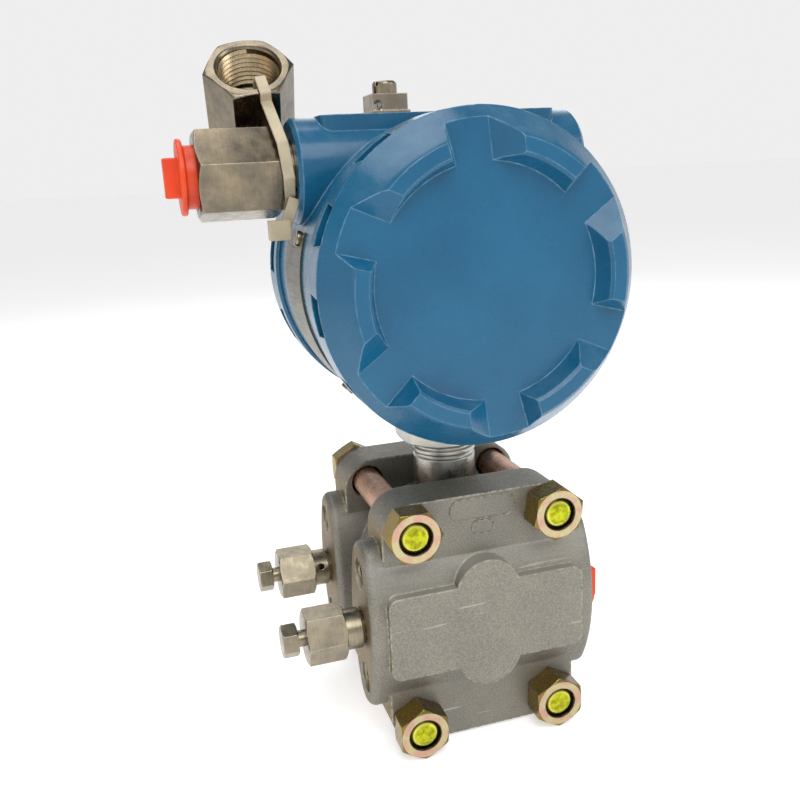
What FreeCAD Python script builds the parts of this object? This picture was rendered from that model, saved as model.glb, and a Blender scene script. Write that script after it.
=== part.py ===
"""Differential pressure transmitter: a sensing cell clamped between two process
flanges, carrying a swivelling electronics housing with two screwed covers.

Frame, in millimetres: X runs along the flanges, from the vent valves (-X) to the
process ports (+X); -Y is the front; Z is up, on the axis of the cell's neck. It
stands on Z = 0, on the lowest corners of its lower nuts and bolt heads.
"""
import FreeCAD
import Part
import math
import os
import Sketcher

Vector = FreeCAD.Vector
doc = FreeCAD.newDocument("Transmitter")

# ---------------------------------------------------------------- driving sizes
SIZES = (
    # process flanges
    ("flange_length", 86.0, "flange, end face to end face"),
    ("port_spacing", 54.0, "front port centre to rear port centre"),
    ("port_height", 47.81, "port centre line above the ground"),
    ("flange_gap", 22.0, "between the flanges' sealing faces"),
    ("barrel_height", 64.0, "height of the flange's oval barrel"),
    ("barrel_crown", 40.6, "centre plane to the crown of the barrel"),
    ("barrel_tip", 9.0, "radius of the oval at the barrel's top and foot"),
    ("barrel_edge", 3.0, "rounding of the barrel's end edges"),
    ("ear_rise_margin", 8.8, "bolt axis to the ears' top or foot"),
    ("ear_margin", 9.5, "bolt axis to the ears' side"),
    ("ear_back", 17.0, "centre plane to the back of the ears"),
    ("ear_front", 35.0, "centre plane to the nut seats"),
    ("ear_corner", 12.0, "corner radius of the ears"),
    ("pad_face", 42.2, "centre plane to the raised cross pad"),
    ("pad_length", 73.6, "length of the cross pad's bar"),
    ("pad_height", 31.2, "height of the cross pad's bar"),
    ("pad_corner", 4.0, "corner radius of the pad's bar"),
    ("boss_radius", 12.1, "radius of the pad's domes"),
    ("boss_height", 48.4, "height over both domes"),
    ("seal_face_radius", 35.0, "radius of the raised sealing face"),
    ("seal_face_bevel", 1.0, "bevel round the sealing face"),
    ("port_radius", 6.0, "minor radius of the quarter inch pipe port"),
    ("port_mouth_radius", 6.9, "mouth radius of the pipe port"),
    ("port_depth", 17.0, "depth of the pipe thread"),
    ("passage_radius", 3.0, "radius of the passage between two ports"),
    ("cell_passage_radius", 2.4, "radius of the passage to the cell"),
    ("adapter_hole_pitch", 41.3, "between the two tapped holes at a port"),
    ("adapter_hole_radius", 4.95, "minor radius of the 7/16-20 thread at the ports"),
    ("bracket_hole_radius", 5.56, "major radius of the 7/16-20 thread at the vents"),
    ("adapter_hole_depth", 16.0, "depth of the tapped holes"),
    ("adapter_hole_mouth", 5.9, "mouth radius of the tapped holes"),
    ("chamber_radius", 20.0, "radius of the process chamber"),
    ("chamber_depth", 1.6, "depth of the process chamber"),
    ("seal_radius", 24.0, "mean radius of the process seal"),
    ("seal_width", 3.2, "radial width of the process seal"),
    ("seal_thickness", 2.0, "thickness of the process seal"),
    # bolting
    ("bolt_span", 53.0, "bolt centres along X"),
    ("bolt_rise", 75.4, "bolt centres along Z"),
    ("bolt_radius", 5.55, "radius of the 7/16 inch bolt"),
    ("bolt_hole_radius", 6.5, "clearance hole in the ears"),
    ("bolt_head", 7.0, "thickness of the bolt head"),
    ("bolt_tip_radius", 4.4, "radius of the bolt's domed tip"),
    ("nut_across_flats", 17.5, "nut and bolt head, across flats"),
    ("nut_thickness", 9.5, "thickness of the nut"),
    ("nut_face_radius", 8.65, "radius of the nut's flat face"),
    ("nut_countersink", 6.05, "mouth radius of the nut's thread"),
    # sensing cell
    ("cell_radius", 37.0, "radius of the sensing cell"),
    ("cell_bevel", 2.0, "bevel of the cell's rims"),
    ("diaphragm_radius", 17.5, "radius of an isolating diaphragm"),
    ("diaphragm_thickness", 0.4, "thickness of a diaphragm"),
    ("diaphragm_recess", 1.2, "depth of the diaphragm's seat"),
    ("ripple_height", 0.3, "height of a diaphragm ripple"),
    ("neck_radius", 11.8, "radius of the cell's neck"),
    ("neck_shoulder", 99.3, "height of the neck's plain part"),
    ("thread_radius", 12.0, "radius of the neck's thread"),
    ("thread_groove", 0.8, "depth of the thread's run-out grooves"),
    ("lock_nut_bottom", 105.8, "height of the lock nut's underside"),
    ("lock_nut_flats", 32.0, "lock nut, across flats"),
    ("lock_nut_thickness", 10.0, "thickness of the lock nut"),
    # housing
    ("foot_height", 0.7, "lock nut to the underside of the housing's barrel"),
    ("housing_wall", 7.5, "wall of the housing's barrel"),
    ("housing_half", 29.0, "centre plane to a cover joint"),
    ("chamber_bore", 45.0, "radius of the two chambers"),
    ("wall_front", 16.0, "centre plane to the front of the dividing wall"),
    ("wall_thickness", 4.0, "thickness of the dividing wall"),
    ("block_width", 84.0, "width of the conduit block"),
    ("block_depth", 25.0, "depth of the conduit block, front to rear"),
    ("block_proud", 1.8, "block's flat top above the barrel"),
    ("block_corner", 4.0, "edge rounding of the block"),
    ("neck_boss_radius", 18.0, "radius of the housing's foot boss"),
    ("tower_height", 16.0, "height of the neck socket in the housing"),
    ("tower_wall", 4.0, "wall round the neck socket"),
    ("conduit_inset", 1.3, "conduit boss face inside the barrel's radius"),
    ("conduit_boss_radius", 17.5, "radius of the conduit bosses"),
    ("conduit_radius", 10.65, "radius of the half inch conduit thread"),
    ("conduit_depth", 14.2, "length of the conduit thread"),
    ("conduit_throat", 8.6, "radius of the passage behind a conduit thread"),
    ("conduit_throat_depth", 30.0, "boss face to the end of that passage"),
    # covers
    ("cover_overhang", 1.5, "cover's radius beyond the housing's"),
    ("cover_skirt", 15.0, "joint to the front of the skirt"),
    ("cover_floor", 19.6, "joint to the cover's face"),
    ("cover_cone", 3.8, "run of the cone between skirt and face"),
    ("cover_wall", 4.0, "thickness of the cover's face"),
    ("cover_thread_wall", 2.4, "wall of the cover's male thread"),
    ("cover_engagement", 10.0, "length of the cover's male thread"),
    ("cover_clearance", 0.1, "radial clearance of the cover's thread"),
    ("lug_count", 6.0, "grip lugs on a cover"),
    ("lug_height", 6.9, "height of a lug above the face"),
    ("lug_slope", 2.8, "run of the lug's inner wall"),
    ("lug_crest", 5.2, "width of the lug's crest"),
    ("lug_inset", 8.4, "cover's radius to the outer edge of a lug's crest"),
    ("lug_sweep", 44.3, "degrees swept by a lug"),
    ("lug_ramp", 8.15, "run of the ramp at a lug's leading end"),
    ("ramp_skew", 6.8, "degrees between a ramp's foot and the radius there"),
    ("ramp_foot", 6.25, "cover's axis to the line of a ramp's foot"),
    ("lug_end", 3.0, "run of the steep face at a lug's other end"),
    ("slot_count", 12.0, "recesses round a skirt"),
    ("slot_width", 14.0, "width of a recess"),
    ("slot_depth", 2.7, "depth of a recess"),
    ("slot_start", 5.5, "joint to the rear of a recess"),
    ("slot_length", 9.0, "length of a recess along the axis"),
    ("cover_phase", 89.3, "angle of the first lug's ramp foot"),
    ("ring_offset", 3.3, "chamber's bore to the middle of a cover seal"),
    ("ring_section", 1.4, "section radius of a cover seal"),
    # conduit adapters and their plug
    ("adapter_flats", 27.0, "adapter, across flats"),
    ("adapter_hex", 27.0, "length of the adapter's hexagon"),
    ("adapter_stand_off", 4.6, "hexagon to the conduit boss"),
    ("adapter_thread", 17.5, "length of the adapter's male thread"),
    ("adapter_bore", 8.0, "radius of the adapter's through bore"),
    ("adapter_socket", 10.3, "radius of the adapter's female thread"),
    ("adapter_socket_depth", 17.0, "depth of the adapter's female thread"),
    ("fit_clearance", 0.1, "radial clearance of screwed pieces"),
    ("plug_stand_off", 3.4, "adapter's mouth to the plug's flange"),
    ("plug_flange_radius", 12.3, "radius of the conduit plug's flange"),
    ("plug_flange", 1.9, "thickness of a plug's flange"),
    ("plug_insert", 12.0, "length of the conduit plug in the adapter"),
    ("plug_grip", 4.6, "height of a plug's grip"),
    ("plug_grip_width", 12.8, "width of the conduit plug's grip"),
    ("plug_grip_thickness", 6.5, "thickness of the conduit plug's grip"),
    ("plug_wall", 1.6, "wall of a plug's hollow body"),
    ("port_plug_flange_radius", 9.0, "radius of a port plug's flange"),
    ("port_plug_insert", 10.0, "length of a port plug in its port"),
    ("port_plug_stand_off", 0.5, "end face to a port plug's flange"),
    ("port_plug_grip_width", 11.0, "width of a port plug's grip"),
    ("port_plug_grip_thickness", 3.0, "thickness of a port plug's grip"),
    # spare adapter hung on its tie
    ("spare_offset", 9.4, "conduit boss face to the spare adapter's mouth, along X"),
    ("spare_y", 10.0, "mouth centre of the spare adapter"),
    ("spare_rise", 35.1, "conduit axis up to the spare adapter's mouth"),
    ("spare_lean", 45.0, "degrees from upright, towards the front"),
    ("tie_width", 3.6, "width of the cable tie"),
    ("tie_thickness", 1.1, "thickness of the cable tie"),
    ("tie_lean", 6.5, "degrees the tie's loop leans to the left"),
    ("tie_head_offset", 7.0, "conduit boss face to the cable tie's head, along X"),
    ("tie_head_y", -11.2, "cable tie's head, along Y"),
    ("tie_drop", 18.2, "conduit axis down to the cable tie's head"),
    ("tie_head", 6.4, "length and height of the tie's head"),
    ("tie_head_width", 6.8, "width of the tie's head"),
    # vent valves
    ("vent_neck_radius", 7.2, "radius of the vent body's collar"),
    ("vent_neck", 7.0, "length of the vent body's collar"),
    ("vent_hex", 14.0, "length of the vent body's hexagon"),
    ("vent_flats", 17.5, "vent body, across flats"),
    ("vent_bleed_radius", 1.25, "radius of the bleed hole"),
    ("stem_radius", 2.9, "radius of the vent stem"),
    ("stem_reach", 2.6, "stem showing between hexagon and head"),
    ("stem_head", 5.5, "length of the vent stem's head"),
    ("stem_head_flats", 10.4, "vent stem's head, across flats"),
    ("stem_length", 15.0, "length of the stem inside the body"),
    ("stem_clearance", 0.1, "radial clearance of the stem"),
    # earth terminal
    ("earth_x", -16.4, "earth terminal, along X"),
    ("earth_size", 12.5, "width of the earth clamp"),
    ("earth_pad", 1.2, "thickness of the clamp's washer plate"),
    ("earth_block", 5.4, "height of the clamp"),
    ("earth_screw_radius", 2.5, "radius of the earth screw"),
    ("earth_head_radius", 4.2, "radius of the earth screw's head"),
    ("earth_head", 4.3, "height of the earth screw's head"),
    ("earth_screw_depth", 7.0, "earth screw's length in the housing"),
    ("slot_cut", 1.2, "width of a screwdriver slot"),
    ("slot_cut_depth", 1.6, "depth of a screwdriver slot"),
    # nameplate
    ("plate_start", 161.0, "degrees, upper end of the nameplate"),
    ("plate_sweep", 75.0, "degrees swept by the nameplate"),
    ("plate_width", 26.0, "width of the nameplate, front to rear"),
    ("plate_thickness", 0.6, "thickness of the nameplate"),
    ("plate_screw_offset", 7.0, "nameplate screws in front of the centre plane"),
    ("plate_screw_radius", 1.3, "radius of a nameplate screw"),
    ("plate_screw_head", 2.6, "radius of a nameplate screw's head"),
    ("plate_head_height", 1.5, "height of a nameplate screw's head"),
    ("plate_screw_length", 5.0, "length of a nameplate screw"),
    # what the chambers hold
    ("module_gap", 1.5, "cover's bore to the potted electronics module"),
    ("module_depth", 9.0, "thickness of the electronics module"),
    ("module_bevel", 1.5, "bevel of the electronics module"),
    ("board_step", 3.0, "circuit board inside the module's radius"),
    ("board_thickness", 1.6, "thickness of the circuit board"),
    ("board_gap", 4.0, "electronics module to the circuit board"),
    ("pillar_radius", 3.2, "radius of a mounting pillar"),
    ("pillar_reach", 17.0, "centre plane to the pillars' faces"),
    ("pillar_screw_radius", 1.5, "radius of the screws in the pillars"),
    ("pillar_screw_grip", 6.0, "length of the screws in the pillars"),
    ("pillar_screw_head", 3.0, "radius of those screws' heads"),
    ("pillar_inset", 5.0, "circuit board's rim to the pillars' axes"),
    ("connector_length", 18.0, "length of the board's connector"),
    ("connector_height", 4.0, "height of the board's connector"),
    ("terminal_gap", 2.5, "cover's bore to the terminal block"),
    ("terminal_depth", 10.0, "depth of the terminal block"),
    ("strip_length", 62.0, "length of the raised terminal strip"),
    ("strip_width", 17.0, "width of the raised terminal strip"),
    ("strip_height", 5.0, "height of the raised terminal strip"),
    ("terminal_pitch", 18.0, "between terminal screws"),
    ("terminal_screw_radius", 2.0, "radius of a terminal screw"),
    ("terminal_head_radius", 4.0, "radius of a terminal screw's head"),
    ("terminal_head", 2.6, "height of a terminal screw's head"),
    ("terminal_screw_length", 8.0, "length of a terminal screw"),
)

# ------------------------------------------- sizes that follow from the driving ones
FOLLOWING = (
    ("ear_width", "bolt_span + 2 * ear_margin", "width of the bolting ears along X"),
    ("ear_height", "bolt_rise + 2 * ear_rise_margin", "height over the bolting ears"),
    ("housing_radius", "chamber_bore + housing_wall", "outer radius of the barrel"),
    ("housing_axis", "lock_nut_bottom + lock_nut_thickness + foot_height + housing_radius",
     "height of the housing's axis"),
    ("block_top", "housing_axis + housing_radius + block_proud", "height of the block"),
    ("conduit_height", "block_top - conduit_boss_radius", "height of the conduit entries"),
    ("conduit_reach", "housing_radius - conduit_inset", "centre plane to a boss face"),
    ("cover_radius", "housing_radius + cover_overhang", "outer radius of a cover"),
    ("cover_floor_radius", "cover_radius - cover_cone", "outer radius of a cover's face"),
    ("cover_bore", "chamber_bore - cover_clearance - cover_thread_wall",
     "inner radius of a cover"),
    ("lug_top_outer", "cover_radius - lug_inset", "outer radius of a lug's crest"),
    ("lug_top_inner", "lug_top_outer - lug_crest", "inner radius of a lug's crest"),
    ("lug_inner_radius", "lug_top_inner - lug_slope", "foot of a lug's inner wall"),
    ("slot_floor", "cover_radius - slot_depth", "radius of a recess's floor"),
    ("ring_radius", "chamber_bore + ring_offset", "mean radius of a cover seal"),
    ("spare_x", "-(conduit_reach + spare_offset)", "mouth centre of the spare adapter"),
    ("spare_z", "conduit_height + spare_rise", "mouth centre of the spare adapter"),
    ("tie_head_x", "-(conduit_reach + tie_head_offset)", "cable tie's head, along X"),
    ("module_radius", "cover_bore - module_gap", "radius of the electronics module"),
    ("board_radius", "module_radius - board_step", "radius of the circuit board"),
    ("pillar_circle", "board_radius - pillar_inset", "radius of the pillars' circle"),
    ("terminal_radius", "cover_bore - terminal_gap", "radius of the terminal block"),
)

sheet = doc.addObject("Spreadsheet::Sheet", "Dim")
for row, (alias, size, note) in enumerate(SIZES + FOLLOWING, start=1):
    sheet.set("A%d" % row, alias)
    sheet.set("B%d" % row, "=" + size if isinstance(size, str) else "%g" % size)
    sheet.set("C%d" % row, note)
    sheet.setAlias("B%d" % row, alias)
doc.recompute()

NODES = []


# ------------------------------------------------------------- modelling helpers
def number(expression):
    """Value of an expression of the spreadsheet's sizes."""
    value = sheet.evalExpression(expression)
    return float(getattr(value, "Value", value))


def bind(item, **expressions):
    """Tie properties of an object to expressions of the sizes."""
    for name, expression in expressions.items():
        item.setExpression(name, expression)
    return item


def place(item, x="0", y="0", z="0", axis=(0, 0, 1), spin=0.0):
    """Stand an object's own Z along axis, turned by spin degrees about it."""
    turn = FreeCAD.Rotation(Vector(0, 0, 1), Vector(*axis))
    turn = turn.multiply(FreeCAD.Rotation(Vector(0, 0, 1), spin))
    item.Placement = FreeCAD.Placement(Vector(0, 0, 0), turn)
    for name, expression in (("x", x), ("y", y), ("z", z)):
        if expression != "0":
            item.setExpression("Placement.Base." + name, expression)
    return item


def node(item, label):
    """Give a finished piece its label and list it as a node."""
    item.Label = label
    NODES.append(item)
    return item


def cylinder(name, radius, height, **where):
    item = bind(doc.addObject("Part::Cylinder", name), Radius=radius, Height=height)
    return place(item, **where)


def box(name, length, width, height, **where):
    """Box centred on its place in X and Y, standing on it in Z."""
    item = bind(doc.addObject("Part::Box", name), Length=length, Width=width, Height=height)
    where["x"] = "(%s) - (%s) / 2" % (where.get("x", "0"), length)
    where["y"] = "(%s) - (%s) / 2" % (where.get("y", "0"), width)
    return place(item, **where)


def hexagon(name, across_flats, height, **where):
    item = doc.addObject("Part::Prism", name)
    item.Polygon = 6
    bind(item, Circumradius="(%s) / sqrt(3)" % across_flats, Height=height)
    return place(item, **where)


def fuse(name, *shapes):
    item = doc.addObject("Part::MultiFuse", name)
    item.Shapes = list(shapes)
    return item


def common(name, first, second):
    item = doc.addObject("Part::Common", name)
    item.Base = first
    item.Tool = second
    return item


def cut(name, base, *tools):
    item = doc.addObject("Part::Cut", name)
    item.Base = base
    item.Tool = tools[0] if len(tools) == 1 else fuse(name + "Tools", *tools)
    return item


def group(name, shapes):
    item = doc.addObject("Part::Compound", name)
    item.Links = list(shapes)
    return item


def origin_plane(body, role):
    return [item for item in body.Origin.OriginFeatures if item.Role == role][0]


def draw(body, name, role, corners, offset=None):
    """Closed sketch on an origin plane; each corner is a pair of expressions."""
    sketch = body.newObject("Sketcher::SketchObject", name)
    sketch.AttachmentSupport = [(origin_plane(body, role), "")]
    sketch.MapMode = "FlatFace"
    if offset:
        sketch.setExpression("AttachmentOffset.Base.z", offset)
    spots = [(number(across), number(up)) for across, up in corners]
    count = len(spots)
    for index, spot in enumerate(spots):
        following = spots[(index + 1) % count]
        sketch.addGeometry(Part.LineSegment(Vector(*spot, 0), Vector(*following, 0)), False)
    for index in range(count):
        link = Sketcher.Constraint("Coincident", index, 2, (index + 1) % count, 1)
        sketch.addConstraint(link)
    for index, corner in enumerate(corners):
        for kind, axis, text, value in zip(("DistanceX", "DistanceY"), (-2, -1),
                                           corner, spots[index]):
            if abs(value) < 1e-9:
                sketch.addConstraint(Sketcher.Constraint("PointOnObject", index, 1, axis))
                continue
            ends = (-1, 1, index, 1) if value > 0 else (index, 1, -1, 1)
            added = sketch.addConstraint(Sketcher.Constraint(kind, *ends, abs(value)))
            sketch.setExpression("Constraints[%d]" % added,
                                 text if value > 0 else "-(%s)" % text)
    return sketch


def turned(name, corners, **where):
    """Piece turned about its own Z; corners are (radius, height) expressions."""
    body = doc.addObject("PartDesign::Body", name)
    profile = draw(body, name + "Profile", "XZ_Plane", corners)
    turn = body.newObject("PartDesign::Revolution", name + "Turn")
    turn.Profile = profile
    turn.ReferenceAxis = (profile, ["V_Axis"])
    turn.Angle = 360
    return place(body, **where)


def edges_along(feature, direction):
    """Names of a feature's straight edges that run along a direction."""
    names = []
    for index, edge in enumerate(feature.Shape.Edges, start=1):
        if edge.Curve.TypeId != "Part::GeomLine":
            continue
        if abs(edge.Curve.Direction.dot(direction)) > 0.999:
            names.append("Edge%d" % index)
    return names


def rounded_block(name, width, height, depth, corner, **where):
    """Block standing along its own Z with its four long edges rounded."""
    body = doc.addObject("PartDesign::Body", name)
    half = ["(%s) / 2" % width, "(%s) / 2" % height]
    corners = [("-" + half[0], "-" + half[1]), (half[0], "-" + half[1]),
               (half[0], half[1]), ("-" + half[0], half[1])]
    pad = body.newObject("PartDesign::Pad", name + "Pad")
    pad.Profile = draw(body, name + "Outline", "XY_Plane", corners)
    bind(pad, Length=depth)
    doc.recompute()
    rounding = body.newObject("PartDesign::Fillet", name + "Corners")
    rounding.Base = (pad, edges_along(pad, Vector(0, 0, 1)))
    bind(rounding, Radius=corner)
    return place(body, **where)


def chamfered_hexagon(name, across_flats, height, face_radius, **where):
    """Hexagon bar with both ends turned down to a round face."""
    reach = "(%s) / sqrt(3)" % across_flats
    drop = "((%s) - (%s)) * 0.5" % (reach, face_radius)
    bar = hexagon(name + "Bar", across_flats, height, **where)
    lathe = turned(name + "Lathe", [
        ("0", "0"), (face_radius, "0"), (reach, drop),
        (reach, "(%s) - %s" % (height, drop)), (face_radius, height), ("0", height)], **where)
    return common(name, bar, lathe)


# --------------------------------------------------------------- process flanges
FRONT = (0, -1, 0)
REAR = (0, 1, 0)
LEFT = (-1, 0, 0)
RIGHT = (1, 0, 0)


def oval_barrel(name):
    """Bar along X whose section is an oval of four arcs, with rounded end edges."""
    body = doc.addObject("PartDesign::Body", name)
    sketch = body.newObject("Sketcher::SketchObject", name + "Oval")
    sketch.AttachmentSupport = [(origin_plane(body, "YZ_Plane"), "")]
    sketch.MapMode = "FlatFace"
    deep = "((Dim.barrel_crown - Dim.flange_gap / 2) / 2)"
    across = "(Dim.flange_gap / 2 + %s)" % deep
    tall = "(Dim.barrel_height / 2)"
    tip = "Dim.barrel_tip"
    flank = "((%s ^ 2 + (%s - %s) ^ 2 - %s ^ 2) / (2 * (%s - %s)))" % (
        deep, tall, tip, tip, deep, tip)
    middle = Vector(-number(across), number("Dim.port_height"), 0)
    lift = Vector(0, number("%s - %s" % (tall, tip)), 0)
    inset = Vector(number("%s - %s" % (flank, deep)), 0, 0)
    turn = math.atan2(lift.y, inset.x)
    for centre, radius, start, end in (
            (middle + lift, tip, turn, math.pi - turn),
            (middle + inset, flank, math.pi - turn, math.pi + turn),
            (middle - lift, tip, math.pi + turn, 2 * math.pi - turn),
            (middle - inset, flank, -turn, turn)):
        circle = Part.Circle(centre, Vector(0, 0, 1), number(radius))
        sketch.addGeometry(Part.ArcOfCircle(circle, start, end), False)
    for index in range(4):
        sketch.addConstraint(Sketcher.Constraint("Tangent", index, 2, (index + 1) % 4, 1))
    sketch.addConstraint(Sketcher.Constraint("Vertical", 0, 3, 2, 3))
    sketch.addConstraint(Sketcher.Constraint("Equal", 0, 2))
    for kind, ends, text in (
            ("DistanceX", (0, 3, -1, 1), across), ("DistanceY", (2, 3, 0, 3),
                                                   "2 * (%s - %s)" % (tall, tip)),
            ("DistanceY", (-1, 1, 0, 3), "Dim.port_height + %s - %s" % (tall, tip)),
            ("Radius", (0,), tip), ("Radius", (1,), flank)):
        added = sketch.addConstraint(Sketcher.Constraint(kind, *ends, number(text)))
        sketch.setExpression("Constraints[%d]" % added, text)
    pad = body.newObject("PartDesign::Pad", name + "Pad")
    pad.Profile = sketch
    pad.Midplane = True
    bind(pad, Length="Dim.flange_length")
    doc.recompute()
    half = number("Dim.flange_length / 2")
    rims = ["Edge%d" % index for index, edge in enumerate(pad.Shape.Edges, start=1)
            if all(abs(abs(corner.Point.x) - half) < 0.01 for corner in edge.Vertexes)
            and edge.Curve.TypeId == "Part::GeomCircle"]
    rounding = body.newObject("PartDesign::Fillet", name + "Ends")
    rounding.Base = (pad, rims)
    bind(rounding, Radius="Dim.barrel_edge")
    return body


def flange(label, turned_round):
    """Cast process flange, drawn as the front one; the rear one is turned round."""
    tag = label.replace("_", " ").title().replace(" ", "")
    rise = "Dim.port_height"
    ears = rounded_block(tag + "Ears", "Dim.ear_width", "Dim.ear_height",
                         "Dim.ear_front - Dim.ear_back", "Dim.ear_corner",
                         y="-Dim.ear_back", z=rise, axis=FRONT)
    bar = rounded_block(tag + "Bar", "Dim.pad_length", "Dim.pad_height",
                        "Dim.pad_face - Dim.ear_back", "Dim.pad_corner",
                        y="-Dim.ear_back", z=rise, axis=FRONT)
    web = box(tag + "Web", "2 * Dim.boss_radius", "Dim.pad_face - Dim.ear_back",
              "Dim.boss_height - 2 * Dim.boss_radius",
              y="-(Dim.ear_back + Dim.pad_face) / 2",
              z=rise + " - Dim.boss_height / 2 + Dim.boss_radius")
    domes = [cylinder(tag + "Dome" + side, "Dim.boss_radius", "Dim.pad_face - Dim.ear_back",
                      y="-Dim.ear_back", axis=FRONT,
                      z="%s %s (Dim.boss_height / 2 - Dim.boss_radius)" % (rise, sign))
             for side, sign in (("Upper", "+"), ("Lower", "-"))]
    face_depth = "(Dim.ear_front - Dim.flange_gap / 2)"
    sealing = turned(tag + "Sealing", [
        ("0", "0"), ("Dim.seal_face_radius - Dim.seal_face_bevel", "0"),
        ("Dim.seal_face_radius", "Dim.seal_face_bevel"),
        ("Dim.seal_face_radius", face_depth), ("0", face_depth)],
        y="-Dim.flange_gap / 2", z=rise, axis=FRONT)
    casting = fuse(tag + "Casting", oval_barrel(tag + "Barrel"), ears, bar, web, *domes,
                   sealing)

    tools = []
    for side, sign, axis in (("Left", "-", LEFT), ("Right", "", RIGHT)):
        inward = tuple(-part for part in axis)
        at_port = (side == "Right") != turned_round
        hole = "Dim.adapter_hole_radius" if at_port else "Dim.bracket_hole_radius"
        end = sign + "Dim.flange_length / 2"
        tools.append(turned(tag + "Port" + side, [
            ("0", "0"), ("Dim.port_mouth_radius", "0"),
            ("Dim.port_radius", "Dim.port_mouth_radius - Dim.port_radius"),
            ("Dim.port_radius", "Dim.port_depth"), ("Dim.passage_radius", "Dim.port_depth"),
            ("Dim.passage_radius", "Dim.flange_length / 2"), ("0", "Dim.flange_length / 2")],
            x=end, y="-Dim.port_spacing / 2", z=rise, axis=inward))
        for level, lift in (("Upper", "+"), ("Lower", "-")):
            tools.append(turned(tag + "Tapped" + side + level, [
                ("0", "0"), ("Dim.adapter_hole_mouth", "0"),
                (hole, "Dim.adapter_hole_mouth - " + hole), (hole, "Dim.adapter_hole_depth"),
                ("0", "Dim.adapter_hole_depth + %s / 2" % hole)],
                x=end, y="-Dim.port_spacing / 2",
                z="%s %s Dim.adapter_hole_pitch / 2" % (rise, lift), axis=inward))
            tools.append(cylinder(
                tag + "BoltHole" + side + level, "Dim.bolt_hole_radius", "Dim.ear_front",
                x=sign + "Dim.bolt_span / 2", axis=FRONT,
                z="%s %s Dim.bolt_rise / 2" % (rise, lift)))
    tools.append(cylinder(tag + "Passage", "Dim.cell_passage_radius", "Dim.port_spacing / 2",
                          z=rise, axis=FRONT))
    tools.append(cylinder(tag + "Chamber", "Dim.chamber_radius",
                          "Dim.flange_gap / 2 + Dim.chamber_depth", z=rise, axis=FRONT))
    groove = turned(tag + "Groove", seal_corners("0"), z=rise,
                    y="-Dim.flange_gap / 2", axis=FRONT)
    tools.append(groove)
    piece = cut(tag, casting, *tools)
    if turned_round:
        piece.Placement = FreeCAD.Placement(Vector(0, 0, 0),
                                            FreeCAD.Rotation(Vector(0, 0, 1), 180))
    return node(piece, label)


def seal_corners(slack):
    """Section of a flat process seal, or of its groove when slack is added."""
    inner = "Dim.seal_radius - Dim.seal_width / 2 - %s" % slack
    outer = "Dim.seal_radius + Dim.seal_width / 2 + %s" % slack
    return [(inner, "0"), (outer, "0"), (outer, "Dim.seal_thickness"),
            (inner, "Dim.seal_thickness")]


flange("front_flange", False)
flange("rear_flange", True)
node(group("ProcessSeals", [
    turned("SealFront", seal_corners("0"), z="Dim.port_height", y="-Dim.flange_gap / 2",
           axis=FRONT),
    turned("SealRear", seal_corners("0"), z="Dim.port_height", y="Dim.flange_gap / 2",
           axis=REAR)]), "process_seals")


# ----------------------------------------------------------------- flange bolting
BOLTS = (("UpperLeft", "-", "+", 0), ("UpperRight", "", "+", 20),
         ("LowerLeft", "-", "-", 30), ("LowerRight", "", "-", 30))


def flange_bolt(tag, x, z):
    """Hexagon bolt put in from the rear, its domed tip just inside the nut."""
    head = chamfered_hexagon("BoltHead" + tag, "Dim.nut_across_flats", "Dim.bolt_head",
                             "Dim.nut_face_radius", x=x, y="Dim.ear_front", z=z,
                             axis=REAR, spin=30)
    reach = "(2 * Dim.ear_front + Dim.nut_thickness)"
    shank = turned("BoltShank" + tag, [
        ("0", "0"), ("Dim.bolt_radius", "0"),
        ("Dim.bolt_radius", reach + " - 1.6"),
        ("Dim.bolt_tip_radius", reach + " - 0.7"),
        ("Dim.bolt_tip_radius * 0.6", reach + " - 0.2"), ("0", reach)],
        x=x, y="Dim.ear_front", z=z, axis=FRONT)
    return fuse("Bolt" + tag, head, shank)


def flange_nut(tag, x, z, spin):
    where = {"x": x, "y": "-Dim.ear_front", "z": z, "axis": FRONT}
    blank = chamfered_hexagon("NutBlank" + tag, "Dim.nut_across_flats",
                              "Dim.nut_thickness", "Dim.nut_face_radius", spin=spin, **where)
    bore = turned("NutBore" + tag, [
        ("0", "0"), ("Dim.bolt_radius + Dim.fit_clearance", "0"),
        ("Dim.bolt_radius + Dim.fit_clearance",
         "Dim.nut_thickness - Dim.nut_countersink + Dim.bolt_radius"),
        ("Dim.nut_countersink", "Dim.nut_thickness"), ("0", "Dim.nut_thickness")], **where)
    return cut("Nut" + tag, blank, bore)


bolts, nuts = [], []
for tag, side, level, spin in BOLTS:
    across = side + "Dim.bolt_span / 2"
    up = "Dim.port_height %s Dim.bolt_rise / 2" % level
    bolts.append(flange_bolt(tag, across, up))
    nuts.append(flange_nut(tag, across, up, spin))
node(group("Bolts", bolts), "flange_bolts")
node(group("Nuts", nuts), "flange_nuts")


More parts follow.
